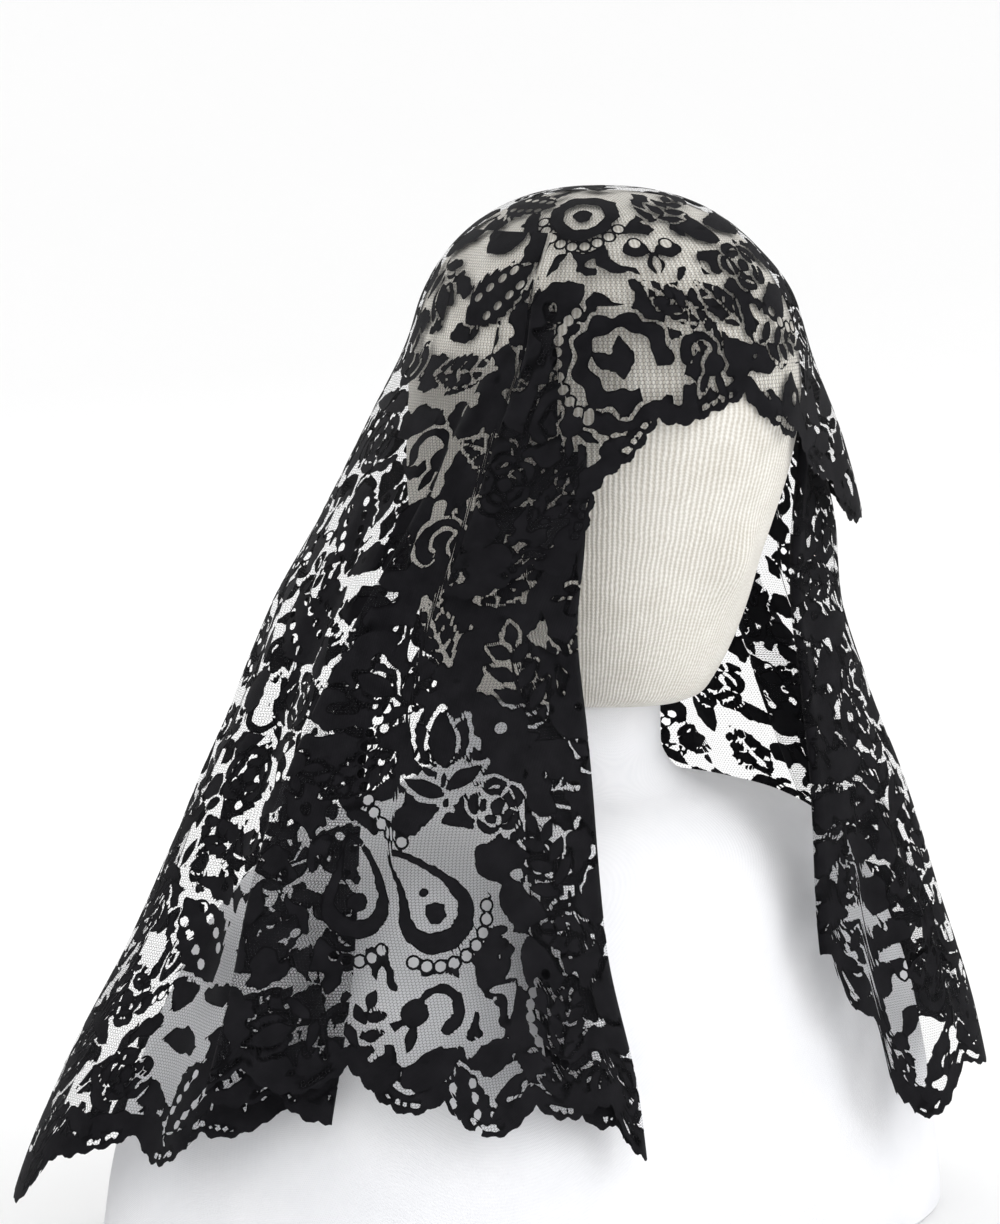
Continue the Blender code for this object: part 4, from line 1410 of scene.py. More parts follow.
@dataclass(frozen=True)
class CrownGround:
    """How closed the crown's ground is, from 0 for open net to 1.6 for closed cloth."""

    by_edge: Ramp = Ramp(0.010, 0.016)
    on_flap: Ramp = Ramp(1.05, 0.25)
    to_pleat: Ramp = Ramp(56.0, 6.0)
    below_top: Ramp = Ramp(reach_of(0.470), 0.08)
    swag_side: Ramp = Ramp(0.008, 0.006)
    swag_middle: float = 28.0
    swag_reach: float = reach_of(0.4400)
    swag_slope: float = 0.006
    swag_half_width: float = 16.0
    swag_closed: float = 0.85
    pleat_closed: float = 1.1
    closed: float = 1.6
    patches: tuple[float, float] = (0.5, 0.55)
    patch_share: float = 0.64
    patch_size: float = 0.04
    metres_for_degree: float = 0.0018

    def density(self, places: Array, edge: Array) -> Array:
        """Most closed on the flaps, by the front edge, by the pleat and in a swag of leaves.

        Args:
            places: bearings and reaches.
            edge: metres in from the front edge.

        Returns:
            The density at every place.
        """
        bearing, reach = places[:, 0], places[:, 1]
        by_pleat = self.pleat_closed * self.to_pleat.at(bearing) * self.below_top.at(reach)
        beside = bearing - self.swag_middle
        away = np.abs(reach - self.swag_reach + beside * self.swag_slope) * CROWN_DOWN
        swag = self.swag_closed * (1.0 - self.swag_side.at(away))
        swag = swag * (np.abs(beside) < self.swag_half_width)
        around, down = bearing * self.metres_for_degree, reach * CROWN_DOWN
        noise = soft_noise(around, down, self.patch_size, 13.0)
        patches = (self.patches[0] + self.patches[1] * noise) * self.patch_share
        by_edge = 1.0 - self.by_edge.at(edge)
        ground = np.maximum.reduce([by_edge, self.on_flap.at(reach), by_pleat, swag, patches])
        return np.clip(ground, 0.0, self.closed)


SPREAD_SIZES = {
    Figure.ROSE: 0.0155,
    Figure.SPRAY: 0.0190,
    Figure.WINDOW_LEAF: 0.0215,
    Figure.BUD: 0.0190,
    Figure.LEAF: 0.0180,
    Figure.CURL: 0.0140,
}
SITE_PITCH = 0.041
SITE_ROWS = (0.078, 0.470, 0.034)
SITE_MARGIN = 0.013
CHAIN_REACH = (4.0, 0.010)
LONE_PAISLEY = (0.62, 0.021, 25.0)


def spread_figures(
    cloth: ClothMap, taken: Iterable[Motif], chains: Iterable[BeadChain]
) -> list[Motif]:
    """Staggered rows of figures on the falls, wherever no placed figure or chain already is.

    Every other row of sites is moved by half a step. A chain that stands alone gets a paisley.

    Args:
        cloth: the falls' map.
        taken: the placed figures.
        chains: the bead chains, which also hold their sites.

    Returns:
        One figure for each free site.
    """
    kinds = list(SPREAD_SIZES)
    made = []
    beside, above = CHAIN_REACH
    share, largest, turn = LONE_PAISLEY
    for chain in chains:
        gaps = ((abs(chain.across - m.across), abs(chain.down - m.down)) for m in taken)
        if all(x > beside or y > above for x, y in gaps):
            size = min(chain.arc * share, largest)
            made.append(Motif(Figure.PAISLEY, chain.across, chain.down, size, turn))
    held = [(m.across, m.down, m.size) for m in (*taken, *made)]
    lays = np.linspace(26.0, 350.0, 1300)
    for row, height in enumerate(np.arange(*SITE_ROWS)):
        along = cloth.table.read(lays, np.full(len(lays), height))
        sites = np.arange(along[0] + SITE_PITCH / 2 * (row % 2), along[-1], SITE_PITCH)
        for column, lay in enumerate(np.interp(sites, along, lays)):
            kind = kinds[(column * 7 + row * 5) % len(kinds)]
            spot = np.array([[lay, height]])
            away = (np.hypot(*cloth.local(spot, np.array([a, d])))[0] - s for a, d, s in held)
            if min(away) > SITE_MARGIN:
                turn = float((column * 97 + row * 61) % 360)
                made.append(Motif(kind, float(lay), float(height), SPREAD_SIZES[kind], turn))
    return made


# Finishes


class Signal:
    """One socket of a shader's nodes, with arithmetic on it."""

    def __init__(self, board: "Board", socket: bpy.types.NodeSocket) -> None:
        """Keeps the socket and the board that new nodes go on."""
        self.board = board
        self.socket = socket

    def math(self, operation: str, *others: "Signal | float", clamp: bool = False) -> "Signal":
        """One Math node with this signal first and the others after it."""
        values = dict(enumerate((self, *others)))
        return self.board.node(
            "ShaderNodeMath", {"operation": operation, "use_clamp": clamp}, values
        )

    def __add__(self, other: "Signal | float") -> "Signal":
        """Sum."""
        return self.math("ADD", other)

    def __sub__(self, other: "Signal | float") -> "Signal":
        """Difference."""
        return self.math("SUBTRACT", other)

    def __rsub__(self, other: float) -> "Signal":
        """Difference with this signal taken away."""
        return self.math("MULTIPLY", -1.0) + other

    def __mul__(self, other: "Signal | float") -> "Signal":
        """Product."""
        return self.math("MULTIPLY", other)

    def __truediv__(self, other: "Signal | float") -> "Signal":
        """Quotient."""
        return self.math("DIVIDE", other)

    def sine(self) -> "Signal":
        """Sine of radians."""
        return self.math("SINE")

    def size(self) -> "Signal":
        """Distance from 0."""
        return self.math("ABSOLUTE")

    def band(self, low: float, high: float) -> "Signal":
        """0 at low, 1 at high, straight between and held outside."""
        return ((self - low) / (high - low)).math("ADD", 0.0, clamp=True)


class Board:
    """The nodes of one material."""

    def __init__(self, name: str) -> None:
        """Starts a material with an empty Principled shader.

        Args:
            name: the material's name.
        """
        self.material = bpy.data.materials.new(name)
        self.material.use_nodes = True
        self.tree = self.material.node_tree
        self.shader = self.tree.nodes["Principled BSDF"]

    def node(
        self,
        kind: str,
        settings: dict[str, object] | None = None,
        values: dict[int | str, object] | None = None,
        output: int | str = 0,
    ) -> Signal:
        """Adds a node.

        Args:
            kind: the node's type.
            settings: its own properties, set before its sockets.
            values: a number, a colour or a signal for each named or numbered socket.
            output: the socket to give back.

        Returns:
            The output's signal.
        """
        made = self.tree.nodes.new(kind)
        for key, value in (settings or {}).items():
            setattr(made, key, value)
        for key, value in (values or {}).items():
            if isinstance(value, Signal):
                self.tree.links.new(value.socket, made.inputs[key])
            else:
                made.inputs[key].default_value = value
        return Signal(self, made.outputs[output])

    def axes(self, source: str, output: int | str = 0) -> tuple[Signal, Signal, Signal]:
        """The three coordinates of Texture Coordinate's or UV Map's output.

        Args:
            source: the node's type.
            output: its socket.

        Returns:
            Three signals.
        """
        found = self.node(source, None, None, output)
        parts = self.node("ShaderNodeSeparateXYZ", None, {0: found})
        outputs = parts.socket.node.outputs
        return tuple(Signal(self, outputs[k]) for k in range(3))

    def mix(self, share: Signal, low: Signal | Colour, high: Signal | Colour) -> Signal:
        """A colour between two.

        Args:
            share: 0 for the low one, 1 for the high one.
            low: a colour or its signal.
            high: the other.

        Returns:
            The colour's signal.
        """
        low, high = (end if isinstance(end, Signal) else (*end, 1.0) for end in (low, high))
        values = {"Factor": share, 6: low, 7: high}
        return self.node("ShaderNodeMix", {"data_type": "RGBA"}, values, 2)

    def noise(self, scale: float, detail: float, rough: float = 0.5) -> Signal:
        """Noise on Object coordinates, about 0.5."""
        place = self.node("ShaderNodeTexCoord", None, None, "Object")
        return self.node(
            "ShaderNodeTexNoise",
            {"noise_dimensions": "3D"},
            {"Vector": place, "Scale": scale, "Detail": detail, "Roughness": rough},
            "Fac",
        )

    def set(self, **values: object) -> None:
        """Sets or links the shader's sockets, whose names have _ for a space.

        Args:
            values: a number, a colour or a signal for each socket.
        """
        for key, value in values.items():
            socket = self.shader.inputs[key.replace("_", " ")]
            if isinstance(value, Signal):
                self.tree.links.new(value.socket, socket)
            else:
                socket.default_value = value

    def bump(self, height: Signal, distance: float, strength: float) -> None:
        """Feeds the shader's Normal from a height of 0 to 1 that is this many metres deep."""
        made = self.node(
            "ShaderNodeBump", None, {"Height": height, "Distance": distance, "Strength": strength}
        )
        self.set(Normal=made)


CLOTH_MAP = "cloth"
FIGURE_LEVEL = "figure_level"


@dataclass(frozen=True)
class ClothworkFinish:
    """The dense worked cloth of the figures: a fine weave, with a raised cord at its outline."""

    thread: Colour = (0.0025, 0.0025, 0.0034)
    # Paler thread colour: a painted highlight on the weave's raised threads, and random patches.
    paler_thread: Colour = (0.0140, 0.0135, 0.0160)
    cord: Colour = (0.0012, 0.0012, 0.0018)
    thread_pitch: float = 0.00075
    cord_width: float = 0.0009
    wear: tuple[float, ...] = (90.0, 4.0, 0.6)
    roughness: float = 0.78
    sheen: float = 0.012
    specular: float = 0.06
    relief: float = 0.0005

    def make(self) -> Material:
        """Two crossed thread waves, paler where they rise as a painted highlight, uneven by noise,
        and the darker outline.

        Returns:
            The material.
        """
        board = Board("lace_clothwork")
        u, v, _ = board.axes("ShaderNodeUVMap")
        turn = 2 * math.pi / self.thread_pitch
        weave = (u * turn).sine() * (v * turn).sine() * 0.5 + 0.5
        level = board.node("ShaderNodeAttribute", {"attribute_name": FIGURE_LEVEL}, None, "Fac")
        cord = 1.0 - level.band(0.0, self.cord_width)
        uneven = board.noise(*self.wear).band(0.3, 0.75)
        # Painted highlight: the weave's rises, which the bump also raises, get the paler colour,
        # mixed with random patches.
        cloth = board.mix(weave * 0.45 + uneven * 0.55, self.thread, self.paler_thread)
        board.set(Base_Color=board.mix(cord, cloth, self.cord), Roughness=self.roughness)
        board.set(Sheen_Weight=self.sheen, Sheen_Roughness=0.5, Specular_IOR_Level=self.specular)
        board.bump(weave * 0.3 + cord * 0.7, self.relief, 0.8)
        return board.material


@dataclass(frozen=True)
class NetFinish:
    """The even net: six-sided cells of thin thread, open between."""

    thread: Colour = (0.012, 0.012, 0.014)
    paler_thread: Colour = (0.028, 0.028, 0.031)
    cell: float = 0.0016
    half_thread: float = 0.042
    softness: float = 0.02
    cells_before: float = 4000.0
    wear: tuple[float, ...] = (140.0, 3.0)
    roughness: float = 0.7
    sheen: float = 0.02
    specular: float = 0.09

    def make(self) -> Material:
        """Open where a place is further than half a thread from its cell's side.

        The cells are the nearer of two rectangular lattices, 1 by 3^0.5 apart; the distance to a
        cell's side is 0.5 - max(|x|, |x| / 2 + |y| * 3^0.5 / 2) from its middle.

        Returns:
            The material.
        """
        board = Board("lace_net")
        u, v, _ = board.axes("ShaderNodeUVMap")
        tall = math.sqrt(3.0)
        u, v = u / self.cell + self.cells_before, v / self.cell + self.cells_before
        first = (u.math("MODULO", 1.0) - 0.5, v.math("MODULO", tall) - tall / 2)
        second = (
            (u + 0.5).math("MODULO", 1.0) - 0.5,
            (v + tall / 2).math("MODULO", tall) - tall / 2,
        )
        far = [x * x + y * y for x, y in (first, second)]
        nearer = far[0].math("LESS_THAN", far[1])
        x, y = ((a * nearer + b * (1.0 - nearer)).size() for a, b in zip(first, second))
        side = 0.5 - x.math("MAXIMUM", x * 0.5 + y * (tall / 2))
        thread = 1.0 - side.band(self.half_thread - self.softness, self.half_thread + self.softness)
        uneven = board.noise(*self.wear).band(0.3, 0.7)
        board.set(Base_Color=board.mix(uneven, self.thread, self.paler_thread), Alpha=thread)
        board.set(Roughness=self.roughness, Sheen_Weight=self.sheen)
        board.set(Specular_IOR_Level=self.specular)
        return board.material


@dataclass(frozen=True)
class JerseyFinish:
    """Cream jersey with upright ribs of knitted loops, with painted shade in the hollows between
    them.
    """

    # Painted shade: the colour of the hollows between the ribs and loops.
    rib_hollow_shade: Colour = (0.50, 0.46, 0.39)
    crest: Colour = (0.96, 0.94, 0.89)
    ribs: int = 230
    loop: float = 0.0017
    middle_y: float = 0.012
    wide_sway: float = 0.03
    fine_sway: float = 0.012
    loop_slant: float = 2.2
    loop_drift: float = 45.0
    patches: tuple[float, ...] = (60.0, 4.0, 0.6)
    roughness: float = 0.92
    sheen: float = 0.25
    specular: float = 0.2
    relief: float = 0.0006

    def make(self) -> Material:
        """Ribs are sin(n a) of the angle a round the head, with slanted loops; where their relief
        is low the colour goes to a painted shade.

        Returns:
            The material.
        """
        board = Board("jersey_rib")
        x, y, z = board.axes("ShaderNodeTexCoord", "Object")
        sway = (board.noise(24.0, 2.0) - 0.5) * self.wide_sway
        sway = sway + (board.noise(150.0, 2.0) - 0.5) * self.fine_sway
        angle = x.math("ARCTAN2", self.middle_y - y) + sway
        ribs = (angle * float(self.ribs)).sine()
        rib = ribs * 0.5 + 0.5
        loops = z * (2 * math.pi / self.loop) + ribs.size() * self.loop_slant
        loops = loops + board.noise(70.0, 3.0) * self.loop_drift
        slant = loops.sine() * 0.5 + 0.5
        uneven = board.noise(*self.patches).band(0.25, 0.8)
        height = rib * 0.72 + slant * 0.28
        # Painted shade: low rib and loop relief darkens the colour, with random patches mixed in.
        share = (height * 0.72 + uneven * 0.28).math("ADD", 0.0, clamp=True)
        board.set(Base_Color=board.mix(share, self.rib_hollow_shade, self.crest), Roughness=self.roughness)
        board.set(Sheen_Weight=self.sheen, Sheen_Roughness=0.6, Specular_IOR_Level=self.specular)
        board.bump(height, self.relief, 0.85)
        return board.material


@dataclass(frozen=True)
class CoverFinish:
    """Plain white cotton with a fine weave and faint unevenness."""

    shade: Colour = (0.78, 0.79, 0.82)
    light: Colour = (0.90, 0.90, 0.92)
    thread_pitch: float = 0.0012
    patches: tuple[float, ...] = (18.0, 4.0, 0.55)
    roughness: float = 0.88
    sheen: float = 0.2
    specular: float = 0.25
    relief: float = 0.0009

    def make(self) -> Material:
        """Threads are waves along height and along the angle round the form.

        Returns:
            The material.
        """
        board = Board("white_cotton")
        x, y, z = board.axes("ShaderNodeTexCoord", "Object")
        turn = 2 * math.pi / self.thread_pitch
        weave = ((x + y) * turn).sine() * ((z + (x - y) * 0.5) * turn).sine() * 0.5 + 0.5
        uneven = board.noise(*self.patches).band(0.3, 0.7)
        share = weave * 0.35 + uneven * 0.65
        board.set(Base_Color=board.mix(share, self.shade, self.light), Roughness=self.roughness)
        board.set(Sheen_Weight=self.sheen, Sheen_Roughness=0.5, Specular_IOR_Level=self.specular)
        board.bump(weave * 0.25 + uneven * 0.75, self.relief, 0.5)
        return board.material


@dataclass(frozen=True)
class StudioFinish:
    """The plain pale floor."""

    colour: Colour = (0.88, 0.88, 0.88)
    darkest_share: float = 0.985
    roughness: float = 0.9
    specular: float = 0.1

    def make(self) -> Material:
        """Nearly even, with the faintest noise in it.

        Returns:
            The material.
        """
        board = Board("pale_floor")
        share = board.noise(2.0, 2.0)
        darker = tuple(c * self.darkest_share for c in self.colour)
        board.set(Base_Color=board.mix(share, darker, self.colour), Roughness=self.roughness)
        board.set(Specular_IOR_Level=self.specular)
        return board.material


# Pieces


def put_mesh(
    name: str,
    points: Array,
    triangles: Array,
    materials: list[Material],
    indices: Array | None = None,
) -> Piece:
    """Makes an object at the origin from whole arrays.

    Args:
        name: the piece's name.
        points: metres, shape (n, 3).
        triangles: corner numbers, shape (m, 3).
        materials: the piece's materials.
        indices: one material number for each triangle.

    Returns:
        The object, smooth shaded.
    """
    mesh = bpy.data.meshes.new(name)
    mesh.vertices.add(len(points))
    mesh.vertices.foreach_set("co", points.astype(np.float32).ravel())
    mesh.loops.add(triangles.size)
    mesh.loops.foreach_set("vertex_index", triangles.astype(np.int32).ravel())
    mesh.polygons.add(len(triangles))
    mesh.polygons.foreach_set("loop_start", np.arange(0, triangles.size, 3, dtype=np.int32))
    for material in materials:
        mesh.materials.append(material)
    if indices is not None:
        mesh.polygons.foreach_set("material_index", indices.astype(np.int32))
    mesh.update(calc_edges=True)
    mesh.validate()
    mesh.shade_smooth()
    made = bpy.data.objects.new(name, mesh)
    bpy.context.scene.collection.objects.link(made)
    return made


def outward(points: Array, triangles: Array, middle: tuple[float, float, float]) -> Array:
    """The triangles, turned round where their areas face the middle on the whole.

    Args:
        points: metres, shape (n, 3).
        triangles: corner numbers.
        middle: a point inside the piece.

    Returns:
        The triangles, facing outwards.
    """
    a, b, c = (points[triangles[:, k]] for k in range(3))
    facing = (np.cross(b - a, c - a) * ((a + b + c) / 3 - np.array(middle))).sum()
    return triangles if facing > 0 else triangles[:, ::-1]


def band_triangles(rows: int, columns: int) -> Array:
    """Two triangles for each cell between closed rings, whose last column meets the first.

    Args:
        rows: how many rings.
        columns: how many points each has.

    Returns:
        Corner numbers, shape (m, 3).
    """
    index = np.arange(rows * columns).reshape(rows, columns)
    right = np.roll(index, -1, axis=1)
    a, b, c, d = (t.ravel() for t in (index[:-1], index[1:], right[1:], right[:-1]))
    return np.concatenate([np.stack([a, b, c], 1), np.stack([a, c, d], 1)])


def fan_triangles(tip: int, ring: Array) -> Array:
    """A triangle from one point to each side of a closed ring."""
    return np.stack([np.full(len(ring), tip), ring, np.roll(ring, -1)], 1)


LACE_MIDDLE = (0.0, 0.03, 0.25)


@dataclass
class LaceSheet:
    """One stretch of the mantilla as a fine mesh of worked cloth and net."""

    node: str
    name: str
    layout: LaceLayout
    flat: tuple[float, float]
    area: float
    rests_on: tuple[str, ...]
    step: float
    picot_pitch: float = 0.0026
    picot_depth: float = 0.0006
    lobe_pitch: float = 0.0092
    lobe_depth: float = 0.0018
    edge_point: float = 0.0004
    edge_zone: float = 0.030
    far_edge: float = 0.05

    def grid(self) -> Array:
        """The grid of places that covers the stretch, a little past its lower edge."""
        raise NotImplementedError

    def lower_line(self) -> Array:
        """Places along the scalloped lower edge."""
        raise NotImplementedError

    def within(self, places: Array) -> Array:
        """Above 0 inside the stretch's other sides."""
        return np.full(len(places), 1.0)

    def past_edge(self, places: Array) -> Array:
        """How far above the lower edge the places are, in metres of height."""
        raise NotImplementedError

    def edge_values(self, places: Array) -> tuple[Array, Array]:
        """Metres in from the lower edge, below 0 past it, and metres along it.

        Both are those of the nearest of the edge's points, at an even spacing; the chunks of places
        only save memory.

        Args:
            places: own coordinates.

        Returns:
            The two lengths at every place.
        """
        point = self.layout.cloth.point
        line = self.lower_line()
        line = point(line[:, 0], line[:, 1])
        lengths = lengths_along(line)
        even = np.arange(0, lengths[-1], self.edge_point)
        line = np.stack([np.interp(even, lengths, line[:, k]) for k in range(3)], -1)
        above = self.past_edge(places)
        near = np.flatnonzero(np.abs(above) < self.edge_zone)
        points = point(*places[near].T)
        edge = np.where(above > 0, self.far_edge, -self.far_edge)
        along = np.zeros(len(places))
        for first in range(0, len(near), 2000):
            rows = near[first : first + 2000]
            away = ((points[first : first + 2000, None, :] - line) ** 2).sum(-1)
            edge[rows] = np.sqrt(away.min(1)) * np.sign(above[rows])
            along[rows] = away.argmin(1) * self.edge_point
        return edge, along

    def build(self, finishes: list[Material]) -> Piece:
        """Cuts the grid to the scalloped edge and the open gaps, then parts cloth from net.

        Args:
            finishes: the worked cloth's material, then the net's.

        Returns:
            The piece, with the figure's level as an attribute and the cloth's lengths as UVs.
        """
        mesh = grid_mesh(self.grid())
        mesh = mesh.kept(self.within(mesh.places))
        edge, along = self.edge_values(mesh.places)
        mesh = FineMesh(np.column_stack([mesh.values, edge, along]), mesh.triangles)
        picots = self.picot_depth * np.abs(np.sin(math.pi * along / self.picot_pitch))
        lobes = np.abs(np.sin(math.pi * along / self.lobe_pitch)) - 0.6
        picots = picots + self.lobe_depth * lobes
        mesh = mesh.kept(np.where(edge == 0, 1e-6, edge + picots))
        mesh = mesh.kept(self.layout.open_level(mesh.places))
        level = self.layout.worked_level(mesh.places, mesh.values[:, 2], mesh.values[:, 3])
        mesh = FineMesh(np.column_stack([mesh.values, level]), mesh.triangles)
        mesh, worked = mesh.split(level)
        cloth = self.layout.cloth
        points = cloth.point(mesh.places[:, 0], mesh.places[:, 1])
        triangles = outward(points, mesh.triangles, LACE_MIDDLE)
        piece = put_mesh(self.name, points, triangles, finishes, np.where(worked, 0, 1))
        levels = piece.data.attributes.new(FIGURE_LEVEL, "FLOAT", "POINT")
        levels.data.foreach_set("value", np.abs(mesh.values[:, 4]).astype(np.float32))
        lengths = np.stack([cloth.across(mesh.places), self.down_length(mesh.places)], -1)
        uv = piece.data.uv_layers.new(name=CLOTH_MAP)
        corners = np.empty(len(piece.data.loops), np.int32)
        piece.data.loops.foreach_get("vertex_index", corners)
        uv.data.foreach_set("uv", lengths[corners].astype(np.float32).ravel())
        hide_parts(self.node)
        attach(piece, "root")
        return piece

    def down_length(self, places: Array) -> Array:
        """Metres down the cloth, at its slope half way down."""
        return places[:, 1] * self.layout.cloth.down_rate(np.array([100.0, places[:, 1].mean()]))


@dataclass
class FallSheet(LaceSheet):
    """A stretch of the falls between two lay angles."""

    row_step: float = 0.0
    start: float = 0.0
    stop: float = 0.0
    column_height: float = 0.200
    spare: float = 0.006
    spare_rows: float = 1.04
    beside: float = 6.0

    def lower_line(self) -> Array:
        """The hem's height less its scallops, along the falls' whole hem.

        Scallops are counted along the plain hem from its near end.

        Returns:
            Lay angles and heights, a little past the stretch's two sides.
        """
        lays = np.linspace(FALL_HEM[0][0], FALL_HEM[-1][0], 2600)
        heights = table_curve(FALL_HEM, lays)
        along = lengths_along(FALLS.point(lays, heights))
        line = np.stack([lays, heights - scallop(along)], -1)
        return line[(lays > self.start - self.beside) & (lays < self.stop + self.beside)]

    def past_edge(self, places: Array) -> Array:
        """Height above the scalloped hem."""
        line = self.lower_line()
        return places[:, 1] - np.interp(places[:, 0], line[:, 0], line[:, 1])

    def grid(self) -> Array:
        """Columns at even lengths round the falls, and even rows from the hem to the top.

        Returns:
            Lay angles and heights, shape (columns, rows, 2).
        """
        fine = np.linspace(self.start, self.stop, 3000)
        along = lengths_along(FALLS.point(fine, np.full(len(fine), self.column_height)))
        count = int(round(along[-1] / self.step))
        lays = np.interp(np.linspace(0, along[-1], count + 1), along, fine)
        line = self.lower_line()
        low = np.interp(lays, line[:, 0], line[:, 1]) - self.spare
        top = FALLS.top(lays)
        rows = int((top - low).max() / self.row_step * self.spare_rows)
        share = np.linspace(0, 1, rows + 1)
        heights = low[:, None] + (top - low)[:, None] * share[None, :]
        return np.stack([np.broadcast_to(lays[:, None], heights.shape), heights], -1)


@dataclass
class CrownSheet(LaceSheet):
    """The crown, the front edge and the flaps at the temples."""

    pole: float = 0.012
    bearing_step: float = 0.64
    metres_for_reach: float = 0.11
    metres_for_degree: float = 0.0015
    border_end: float = 85.0

    def lower_line(self) -> Array:
        """The border's height less its scallops, as bearings and reaches.

        Returns:
            The line's places.
        """
        bearings = np.linspace(-self.border_end, self.border_end, 2000)
        heights = table_curve(CROWN_BORDER, bearings)
        along = lengths_along(CROWN.point(bearings, CROWN.reach(heights)))
        return np.stack([bearings, CROWN.reach(heights - scallop(along))], -1)

    def past_edge(self, places: Array) -> Array:
        """Metres of height above the border; the seam round the back is no lower edge.

        Args:
            places: bearings and reaches.

        Returns:
            The height at every place.
        """
        line = self.lower_line()
        low = np.interp(places[:, 0], line[:, 0], line[:, 1])
        above = (low - places[:, 1]) * DOME.height
        return np.where(np.abs(places[:, 0]) < self.border_end, above, self.far_edge)

    def grid(self) -> Array:
        """Rays from the crown, all round, with even steps of reach along each.

        Returns:
            Bearings and reaches, shape (rays, rows, 2).
        """
        bearings = np.linspace(-180.0, 180.0, int(360.0 / self.bearing_step) + 1)
        lowest = self.lower_line()[:, 1].max() + 0.02
        reach = np.arange(self.pole, lowest, self.step / self.metres_for_reach)
        return np.stack(np.meshgrid(bearings, reach, indexing="ij"), -1)

    def within(self, places: Array) -> Array:
        """Above 0 above the seam round the back, and out to the end of the strip turned under.

        The strip widens from nothing near the seam to its whole width 43 mm below it.

        Args:
            places: bearings and reaches.

        Returns:
            The level at every place.
        """
        height = CROWN.height(places[:, 1])
        wide = CROWN.pleat_turn * CROWN.strip_widens.at(height)
        in_front = (CROWN.side_pleat + wide - np.abs(places[:, 0])) * self.metres_for_degree
        seam = reach_of(FALL_TOP)
        return np.maximum(in_front, (seam - places[:, 1]) * DOME.height)

    def down_length(self, places: Array) -> Array:
        """Metres down the cloth from the crown: a quarter of the dome's girth for a reach of 1."""
        return places[:, 1] * CROWN_DOWN


@dataclass(frozen=True)
class FormPart:
    """A smooth closed solid through superellipse sections, from its top to its flat bottom."""

    node: str
    name: str
    slot: str
    sections: Rows
    domed: bool = False
    columns: int = 180
    rows: int = 110
    dome_rings: int = 50
    nose_depth: float = 0.006
    nose_height: float = 0.331
    nose_reach: tuple[float, float] = (0.013, 0.016)

    def rings(self) -> Array:
        """Points of every ring, from the top down.

        The dome's rings are at cos(turn)^(2/p) of its height; the others follow the monotone curve
        through the sections' sizes, closer where the sections are closer. The face swells by a
        bell curve, e^(-x^2 - z^2), where its nose would be.

        Returns:
            Metres, shape (rows, columns, 3).
        """
        table = np.array(self.sections)
        places = np.linspace(0, len(table) - 1, self.rows)
        heights = np.interp(places, np.arange(len(table)), table[:, 0])
        sizes = [table_curve(table, heights, k)[:, None] for k in (1, 2, 3, 4)]
        angles = np.arange(self.columns)[None, :] * 360.0 / self.columns
        radius = superellipse_radius(angles, *sizes[1:])
        body = at_bearing(angles + 0 * radius, heights[:, None] + 0 * radius, sizes[0], radius)
        if not self.domed:
            return body
        wide, tall = self.nose_reach
        level = (body[..., 2] - self.nose_height) / tall
        swelling = self.nose_depth * np.exp(-((body[..., 0] / wide) ** 2) - level**2)
        body[..., 1] -= np.where(body[..., 1] < 0, swelling, 0.0)
        turns = np.radians(np.linspace(1.5, 89.0, self.dome_rings))[:, None]
        heights = DOME.level + DOME.height * np.cos(turns) ** (2 / DOME.power)
        scale = DOME.scale(heights, 0.0)
        radius = superellipse_radius(angles, DOME.half_width * scale, DOME.half_depth * scale, 2.0)
        centre = np.full(radius.shape, DOME.centre_y)
        dome = at_bearing(angles + 0 * radius, heights + 0 * radius, centre, radius)
        return np.concatenate([dome, body])

    def build(self, finish: Material) -> Piece:
        """Joins the rings into a closed mesh with a point in the middle of each end.

        Args:
            finish: the part's material.

        Returns:
            The part.
        """
        rings = self.rings()
        rows, columns = rings.shape[:2]
        points = np.concatenate([rings.reshape(-1, 3), [rings[0].mean(0), rings[-1].mean(0)]])
        ring = np.arange(columns)
        top = fan_triangles(rows * columns, ring)
        bottom = fan_triangles(rows * columns + 1, ring + (rows - 1) * columns)[:, [0, 2, 1]]
        triangles = np.concatenate([band_triangles(rows, columns), top, bottom])
        middle = tuple(points.mean(0))
        piece = put_mesh(self.name, points, outward(points, triangles, middle), [finish])
        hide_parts(self.node)
        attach(piece, "root")
        return piece


# Studio


@dataclass(frozen=True)
class SoftLight:
    """A large square lamp: where it stands, its side in metres and its power in watts."""

    name: str
    place: tuple[float, float, float]
    side: float
    power: float


